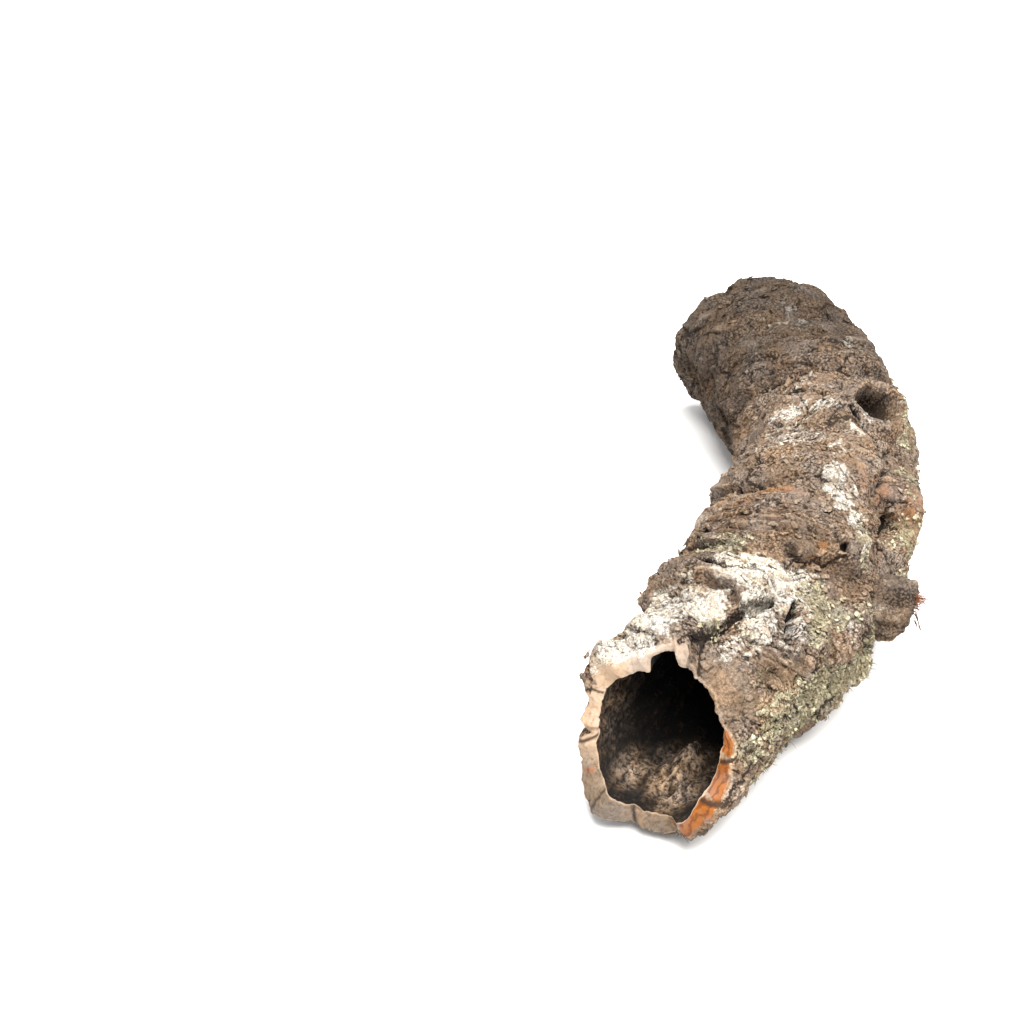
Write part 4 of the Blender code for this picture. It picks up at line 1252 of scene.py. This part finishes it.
# %% One length of bark
def length_of_bark(name, outer_rows, inner_rows, near_end):
    """Rings out along the bark from the join to the open end, across the rim, and back inside to the join."""
    angle = ROUND[None, :]
    shut, opened = join_at(ROUND)[None, :], (mouth_at(ROUND) if near_end else far_end_at(ROUND))[None, :]
    size, deep = MOUTH_CHIPPED
    chips = deep * layered(straightened(opened, angle) / size, 2, 481)
    opened = opened + chips if near_end else opened - chips
    out_share = np.linspace(0, 1, outer_rows)[:, None]
    in_share = 1 - np.linspace(0, 1, inner_rows)[:, None] ** 1.8
    s_out, s_in = shut + out_share * (opened - shut), shut + in_share * (opened - shut)
    angles_out, angles_in = angle + 0 * s_out, angle + 0 * s_in
    edge = np.minimum(np.abs(s_out - mouth_at(angle)), np.abs(far_end_at(angle) - s_out))
    outer, found = outside(s_out, angles_out, edge)
    inner, shreds = hollow(s_in, angles_in)
    facing = along(opened[0])[1] * (-1 if near_end else 1)
    rim_rings, push = broken_rim(outer[-1], inner[0], facing)
    share = (np.arange(1, RIM_STEPS) / RIM_STEPS)[:, None]
    s_rim, angles_rim = opened + 0 * share, angle + 0 * share
    rings = np.concatenate([outer, rim_rings, inner])
    rings[..., 2] = np.maximum(rings[..., 2], 0.0)  # nothing goes below the ground
    parts = [
        (skin_masks(s_out, angles_out, found), outer_rows),
        (rim_masks(s_rim, angles_rim, push, share), RIM_STEPS - 1),
        (wall_masks(s_in, angles_in, shreds), inner_rows),
    ]
    if near_end:
        rings = rings[::-1]
    attributes = {key: values[::-1] if near_end else values for key, values in joined(parts, len(ROUND)).items()}
    rows = len(rings)
    skin_rows = np.zeros(len(ROUND), int)
    for degrees, half_angle, skinned in SKINNED_RIM if near_end else ():
        over = np.abs(angle_from(ROUND, degrees)) < math.radians(half_angle)
        skin_rows = np.where(over, round(skinned * RIM_STEPS), skin_rows)
    row = np.arange(rows)[:, None] - (outer_rows - 1)
    slots = np.where(row < skin_rows, 0, np.where(row < RIM_STEPS, 1, 2))  # skin, rim, hollow
    edges = [0, rows - 1, outer_rows + RIM_STEPS - 1]
    if near_end:
        slots = np.concatenate([slots[:-1][::-1], slots[-1:]])
        edges = [0, rows - 1, inner_rows - 1]
    add_piece(name, rings, wrapped_faces(rows, len(ROUND)), attributes, (SKIN, RIM, WALL_INSIDE), slots, edges)


length_of_bark("near_bark", 236, 44, True)
length_of_bark("far_bark", 246, 36, False)

# %% [markdown]
# ## The stub of a side branch
# On the right, a side branch once grew out of the bark. What is left is a thick rounded knob with a broken end and
# a deep crease round its foot. It is a surface of its own: a profile carried round an axis that points straight out
# of the bark, with the same rolls of noise as the bark, so it looks like a separate growth and not like a lump.

# %% The stub's axis
STUB_AT = (0.191, 357.0)
STUB_OVAL = 0.92
STUB_LEAN = 0.18
STUB_PROFILE = (  # how far out, and the radius there
    (-0.0150, 0.0190), (-0.0080, 0.0215), (0.0000, 0.0226), (0.0060, 0.0232), (0.0110, 0.0222),
    (0.0155, 0.0200), (0.0182, 0.0172), (0.0186, 0.0140), (0.0162, 0.0110), (0.0140, 0.0060),
)
STUB_ROWS, STUB_ROUND = 110, 150
STUB_BENDS = (0.014, 0.0040)  # sizes here and below, and how far each goes
STUB_LUMPS = (0.016, 0.0036)
STUB_WRINKLES = ((0.0085, 0.0210), 0.0042)
STUB_WRINKLE_MIDDLE = 0.9
STUB_RADIUS = 0.0225
STUB_END = (0.0150, 0.0175)  # how far out its broken end begins, and where it is all broken
STUB_BROKEN = (0.007, 0.0036)


def out_of_bark(at, degrees):
    """A frame on the bark: X along the branch, Z straight out, and the origin on the plain tube."""
    angle = np.radians([degrees])
    centre, ahead, aside, half_wide, half_high = (part[0] for part in along(np.array([at])))
    out = aside * math.cos(angle[0]) + np.array([0, 0, 1]) * math.sin(angle[0])
    reach = math.hypot(half_wide * math.cos(angle[0]), half_high * math.sin(angle[0]))
    return centre + out * reach, np.stack([ahead, np.cross(out, ahead), out])


# %% The knob itself
def stub_surface():
    """The profile's radius times a circle, oval across and leaning, pushed out by rolls that run up the axis."""
    far, radius = np.array(STUB_PROFILE).T
    run = np.concatenate([[0], np.cumsum(np.hypot(np.diff(far), np.diff(radius)))])
    share = np.linspace(0, run[-1], STUB_ROWS)
    height, wide = np.interp(share, run, far)[:, None], np.interp(share, run, radius)[:, None]
    turn = np.linspace(0, 2 * math.pi, STUB_ROUND, endpoint=False)[None, :]
    local = np.stack([wide * np.cos(turn), wide * np.sin(turn), height + 0 * turn], -1)
    (bend_size, bend), (lump_size, lump), (sizes, wrinkle), (break_size, rough) = (
        STUB_BENDS, STUB_LUMPS, STUB_WRINKLES, STUB_BROKEN)
    bent = local + bend * np.stack([layered(local / bend_size, 2, 501 + k) for k in range(3)], -1)
    lumps = layered(local / lump_size, 2, 511)
    wrinkles = rolls(drawn_out(bent, *sizes), 3, 521) - STUB_WRINKLE_MIDDLE
    grown = lump * lumps + wrinkle * wrinkles
    end = smooth(*STUB_END, height) * np.ones_like(turn)
    local[..., :2] *= (1 + grown / STUB_RADIUS * (1 - 0.5 * end))[..., None]
    local[..., 2] += end * (rough * layered(local / break_size, 2, 531) + 0.0014 * np.cos(2 * turn + 1.0))
    local[..., 2] += STUB_LEAN * local[..., 1]
    local[..., 1] *= STUB_OVAL
    masks = {
        "place": local + 0.5,
        # painted highlight on the crests of the rolls; painted shade in the creases and the broken end's hollow
        "crest": smooth(-0.0010, 0.0016, grown),
        "crevice": np.clip(0.65 * smooth(0.0002, 0.0030, -grown) + 0.75 * end * smooth(0.013, 0.006, wide), 0, 1),
        "brown": np.full(grown.shape, 0.35),
        "crust": 0.30 * smooth(-0.2, 0.5, lumps) * (1 - end),
        "orange": 0.35 * end,
        "green": 0.35 * smooth(0.1, 0.6, -lumps),
        # painted shade: the whole stub darker, and its broken end darker still
        "dark": np.full(grown.shape, 0.62) + 0.2 * end,
    }
    return local, masks


stub_local, stub_masks = stub_surface()
stub_origin, stub_frame = out_of_bark(*STUB_AT)
stub_rings = stub_origin + stub_local @ stub_frame
stub_points = np.concatenate([stub_rings.reshape(-1, 3), stub_rings[[0, -1]].mean(1)])
stub_masks = {key: values.reshape(STUB_ROWS * STUB_ROUND, -1) for key, values in stub_masks.items()}
stub_masks = {key: np.concatenate([values, values[:1], values[-1:]]) for key, values in stub_masks.items()}
add_piece("side_branch_stub", stub_points, capped_faces(STUB_ROWS, STUB_ROUND, False), stub_masks, (SKIN,))

# %% [markdown]
# ## Flakes, lichen, moss and roots
# The skin of an old cork branch is never clean. Chips of bark stand off it, leafy lichen curls up from its upper side,
# moss sits in the damp places, and fine roots hang from the stub. Each is a few dozen faces, repeated some thousand
# times. One function turns any stack of rings, many stacks at once, into closed shells, so a leaf (two rings), a
# chip (two rings) and a strand (four small rings) are all made the same way, and each kind becomes one mesh. What
# decides where they grow is a share at each place on the bark, and the random places follow it.

# %% Many small closed shells as one mesh
def closed_shells(name, rings, feet, tips, material, attributes):
    """Stacks of rings, each shut by a fan to its foot and a fan to its tip: rings are stack × ring × corner × 3."""
    stacks, rows, count = rings.shape[:3]
    each = rows * count + 2
    one = np.concatenate(capped_faces(rows, count, True))
    faces = (one[None] + each * np.arange(stacks)[:, None, None]).reshape(-1, 3)
    points = np.concatenate([rings.reshape(stacks, -1, 3), feet[:, None], tips[:, None]], 1).reshape(-1, 3)
    points[:, 2] = np.maximum(points[:, 2], 0.0)
    attributes = {key: np.repeat(values, each, axis=0) for key, values in attributes.items()}
    add_piece(name, points, [faces], attributes, (material,))


# %% Places to grow
SEEN_ROUND = (-70, 204)  # degrees; nothing grows on the underside
TRIED = 14  # places tried for each one that is kept
OFF_EDGE = 0.003
STEP = 0.0008  # how far apart the three points are that tell how the bark lies


def sites(count, weigh, rng):
    """Random places on the bark, more of them where the weight is high, each with a frame that stands on the bark."""
    s, angle = rng.uniform(0.0, LENGTH, TRIED * count), np.radians(rng.uniform(*SEEN_ROUND, TRIED * count))
    weight = weigh(s, angle) * (s > mouth_at(angle) + OFF_EDGE) * (s < far_end_at(angle) - OFF_EDGE)
    chosen = rng.choice(len(s), count, replace=False, p=weight / weight.sum())
    s, angle = s[chosen], angle[chosen]
    steps, edge = ((0, 0), (STEP, 0), (0, STEP)), np.full(count, 1.0)
    at, farther, higher = (outside(s + a, angle + b / MEAN_RADIUS, edge)[0] for a, b in steps)
    ahead, around = farther - at, higher - at
    out = np.cross(ahead, around)
    out /= np.linalg.norm(out, axis=-1, keepdims=True)
    ahead /= np.linalg.norm(ahead, axis=-1, keepdims=True)
    around = np.cross(out, ahead)
    turn = rng.uniform(0, 2 * math.pi, count)[:, None]
    first = np.cos(turn) * ahead + np.sin(turn) * around
    return s, angle, at, np.stack([first, np.cross(out, first), out], 1)


def set_on(local, at, frame):
    """Points given in each site's own frame, moved onto the bark."""
    return np.einsum("n...k,nkj->n...j", local, frame) + at.reshape(len(at), *[1] * (local.ndim - 2), 3)


# %% Leaves and chips
LEAF_CORNERS = 8


def leaves(rng, count, radius, thick, curl, lobes):
    """Flat discs with a lobed edge that curls up, as two rings, a foot and a tip."""
    corner = np.linspace(0, 2 * math.pi, LEAF_CORNERS, endpoint=False)[None, :]
    size = rng.uniform(*radius, (count, 1))
    reach = size * (1 + lobes * rng.uniform(-1, 1, (count, LEAF_CORNERS)))
    lift = size * curl * rng.uniform(-0.3, 1.0, (count, LEAF_CORNERS))
    rim = np.stack([reach * np.cos(corner), reach * np.sin(corner), lift], -1)
    inner = np.stack([0.5 * reach * np.cos(corner), 0.5 * reach * np.sin(corner), 0.35 * lift + thick], -1)
    height = np.zeros((count, 3))
    height[:, 2] = thick
    return np.stack([rim, inner], 1), -height, height * 1.3


def leaf_material(name, dark, pale, third):
    """A colour for each shell between two, with patches of a third, and a soft grain."""
    material, tree, shader = new_material(name, 0.85)
    place = place_in_space(tree)
    fine = cloudy(tree, place, 500.0, 4.0, 0.6)
    colour = tint(tree, mask(tree, "shade"), dark, pale)
    colour = tint(tree, between(tree, cloudy(tree, place, 55.0, 3.0), 0.46, 0.60), colour, third)
    colour = tint(tree, between(tree, fine, 0.35, 0.6, 0.55, 0.0), colour, dark)
    coat(tree, shader, colour, fine, 0.0010)
    return material


MOSSY = (
    (75, 350, 75, 60, 0.8), (150, 346, 50, 40, 0.9), (40, 20, 30, 40, 0.5), (250, 350, 50, 40, 0.5),
    (350, 0, 80, 50, 0.35),
)


def leafy_share(s, angle):
    """Where lichen leaves grow: in clusters within the green places."""
    return places(s, angle, GREEN_PLACES) ** 2 * smooth(0.0, 0.25, noise(straightened(s, angle) / 0.008, 611))


rng = np.random.default_rng(77)
LICHEN_LEAF = leaf_material("lichen_leaf", (0.120, 0.105, 0.066), (0.540, 0.480, 0.330), (0.300, 0.262, 0.170))
s, angle, at, frame = sites(4200, leafy_share, rng)
shells = [set_on(part, at, frame) for part in leaves(rng, len(s), (0.0007, 0.0019), 0.00025, 0.80, 0.45)]
closed_shells("lichen_leaves", *shells, LICHEN_LEAF, {"shade": rng.uniform(0, 1, len(s))})


# %% Chips of bark
CHIP_SHAPE = np.array([1.0, 0.6, 1.0])


def chipped_share(s, angle):
    """Where chips of bark stand off: everywhere, and most in the brown and crusted places."""
    return 0.25 + 0.5 * places(s, angle, BROWN_PLACES) + 0.5 * places(s, angle, CRUST_PLACES)


s, angle, at, frame = sites(2200, chipped_share, rng)
rings, feet, tips = leaves(rng, len(s), (0.0014, 0.0042), 0.0006, 0.38, 0.40)
shells = [set_on(part, at, frame) for part in (rings * CHIP_SHAPE, feet, tips)]
# the chips take the bark's masks, painted shade at the far end and underneath included
chip_masks = growth(s, angle)
for key in ("brown", "orange"):
    chip_masks[key] = 0.4 * chip_masks[key]
chip_masks.update(crest=rng.uniform(0.1, 0.65, len(s)), place=straightened(s, angle))
chip_masks["bevel"] = places(s, angle, BEVEL_PLACES)
closed_shells("bark_chips", *shells, SKIN, chip_masks)


# %% Strands: moss and roots
def strands(rng, start, direction, length, radius, wander, droop=0.0):
    """Thin round stems of four rings that bend at random and taper to a tip."""
    count, corners = len(start), 4
    direction = direction / np.linalg.norm(direction, axis=-1, keepdims=True)
    side = np.cross(direction, rng.normal(size=(count, 3)))
    side /= np.linalg.norm(side, axis=-1, keepdims=True)
    other = np.cross(direction, side)
    share = np.linspace(0, 1, 5)
    bend = wander * length[:, None, None] * rng.normal(size=(count, 1, 3)) * share[None, :, None] ** 2
    kink = 0.25 * wander * length[:, None, None] * rng.normal(size=(count, 5, 3)) * share[None, :, None]
    path = start[:, None] + direction[:, None] * (length[:, None] * share)[..., None] + bend + kink
    path[..., 2] -= droop * length[:, None] * share**2
    corner = np.linspace(0, 2 * math.pi, corners, endpoint=False)
    circle = side[:, None] * np.cos(corner)[None, :, None] + other[:, None] * np.sin(corner)[None, :, None]
    wide = radius * (1 - 0.75 * share[:4])
    rings = path[:, :4, None] + circle[:, None] * wide[None, :, None, None]
    return rings, start - direction * radius, path[:, 4]


MOSS = leaf_material("moss", (0.070, 0.062, 0.032), (0.340, 0.305, 0.165), (0.210, 0.160, 0.090))
s, angle, at, frame = sites(3600, lambda s, a: places(s, a, MOSSY) + 0.35 * places(s, a, GREEN_PLACES) + 0.004, rng)
lean = frame[:, 2] + 0.9 * rng.normal(size=at.shape)
lean += frame[:, 2] * np.clip(0.3 - (lean * frame[:, 2]).sum(-1), 0, None)[:, None]
shells = strands(rng, at - 0.0004 * frame[:, 2], lean, rng.uniform(0.0012, 0.0032, len(s)), 0.00034, 0.6)
closed_shells("moss_strands", *shells, MOSS, {"shade": rng.uniform(0, 1, len(s))})

# %% The roots: a tuft on the stub, some that hang from it, and some under the mouth
ROOT = leaf_material("fine_roots", (0.070, 0.026, 0.014), (0.300, 0.105, 0.050), (0.200, 0.070, 0.035))
TUFT_AT, TUFT_UP = 0.0205, 0.010
TUFT, HANGING, BELOW = 70, 9, 14


def scattered(count, *spread):
    """Random steps from a place, of these sizes along the three axes."""
    return rng.normal(size=(count, 3)) * np.array(spread)


stub_tip = stub_origin + np.array([0.0, 0.0, TUFT_AT]) @ stub_frame
start = stub_tip + np.array([0.0, 0.0, TUFT_UP]) + scattered(TUFT, 0.0012, 0.0030, 0.0022)
way = stub_frame[2] + 0.75 * rng.normal(size=(TUFT, 3))
tuft = strands(rng, start, way, rng.uniform(0.004, 0.013, TUFT), 0.00028, 0.35)
start = stub_tip + scattered(HANGING, 0.0010, 0.0030, 0.0020)
way = np.array([0.35, -0.1, -0.6]) + 0.15 * rng.normal(size=(HANGING, 3))
hanging = strands(rng, start, way, rng.uniform(0.012, 0.022, HANGING), 0.00032, 0.12, 0.3)
under = along(np.array([-0.012]))[0][0] + np.array([0.022, -0.012, -0.050])
start = under + scattered(BELOW, 0.004, 0.002, 0.001)
way = np.array([0.2, -0.9, 0.1]) + 0.5 * rng.normal(size=(BELOW, 3))
below = strands(rng, start, way, rng.uniform(0.004, 0.009, BELOW), 0.00028, 0.4)
shells = [np.concatenate(group) for group in zip(tuft, hanging, below)]
dim = np.concatenate([rng.uniform(0.3, 1, TUFT), np.zeros(HANGING + BELOW)])
closed_shells("fine_roots", *shells, ROOT, {"shade": dim})

# %% [markdown]
# ## Floor and light
# The photograph was taken on a white sweep under a large soft light, so the ground is white and the shadow is
# faint. A wide plane, a pale world and one big lamp overhead give the same. The lamp stands a little to
# the right and in front, because the bark that faces that way is evenly lit and the shadow falls behind it.

# %% Floor, lamps and world
FLOOR_HALF = 30.0
floor_mesh = bpy.data.meshes.new("floor")
corners = [(x * FLOOR_HALF, y * FLOOR_HALF, 0) for x, y in ((-1, -1), (1, -1), (1, 1), (-1, 1))]
floor_mesh.from_pydata(corners, [], [(0, 1, 2, 3)])
floor = bpy.data.objects.new("floor", floor_mesh)
floor.location.z = -0.0002
bpy.context.scene.collection.objects.link(floor)
paper, _, paper_shader = new_material("white_paper", 0.8)
paper_shader.inputs["Base Color"].default_value = (0.93, 0.925, 0.92, 1.0)
floor_mesh.materials.append(paper)


def lamp(name, at, towards, size, watts, colour):
    """A square soft lamp that faces a point."""
    data = bpy.data.lights.new(name, "AREA")
    data.size, data.energy, data.color = size, watts, colour
    obj = bpy.data.objects.new(name, data)
    obj.location = at
    obj.rotation_euler = (Vector(towards) - Vector(at)).to_track_quat("-Z", "Y").to_euler()
    bpy.context.scene.collection.objects.link(obj)


lamp("key", (0.35, -0.75, 2.1), (0.0, 0.0, 0.0), 2.0, 185.0, (1.0, 0.985, 0.96))
lamp("front", (0.5, -2.4, 1.2), (0.0, -0.1, 0.05), 1.6, 8.0, (1.0, 0.99, 0.98))
world = bpy.data.worlds.new("studio")
world.use_nodes = True
world.node_tree.nodes["Background"].inputs["Color"].default_value = (1.0, 1.0, 1.0, 1.0)
world.node_tree.nodes["Background"].inputs["Strength"].default_value = 0.78
bpy.context.scene.world = world
bpy.context.scene.view_settings.view_transform = "Standard"
print("lamps and floor are in place")
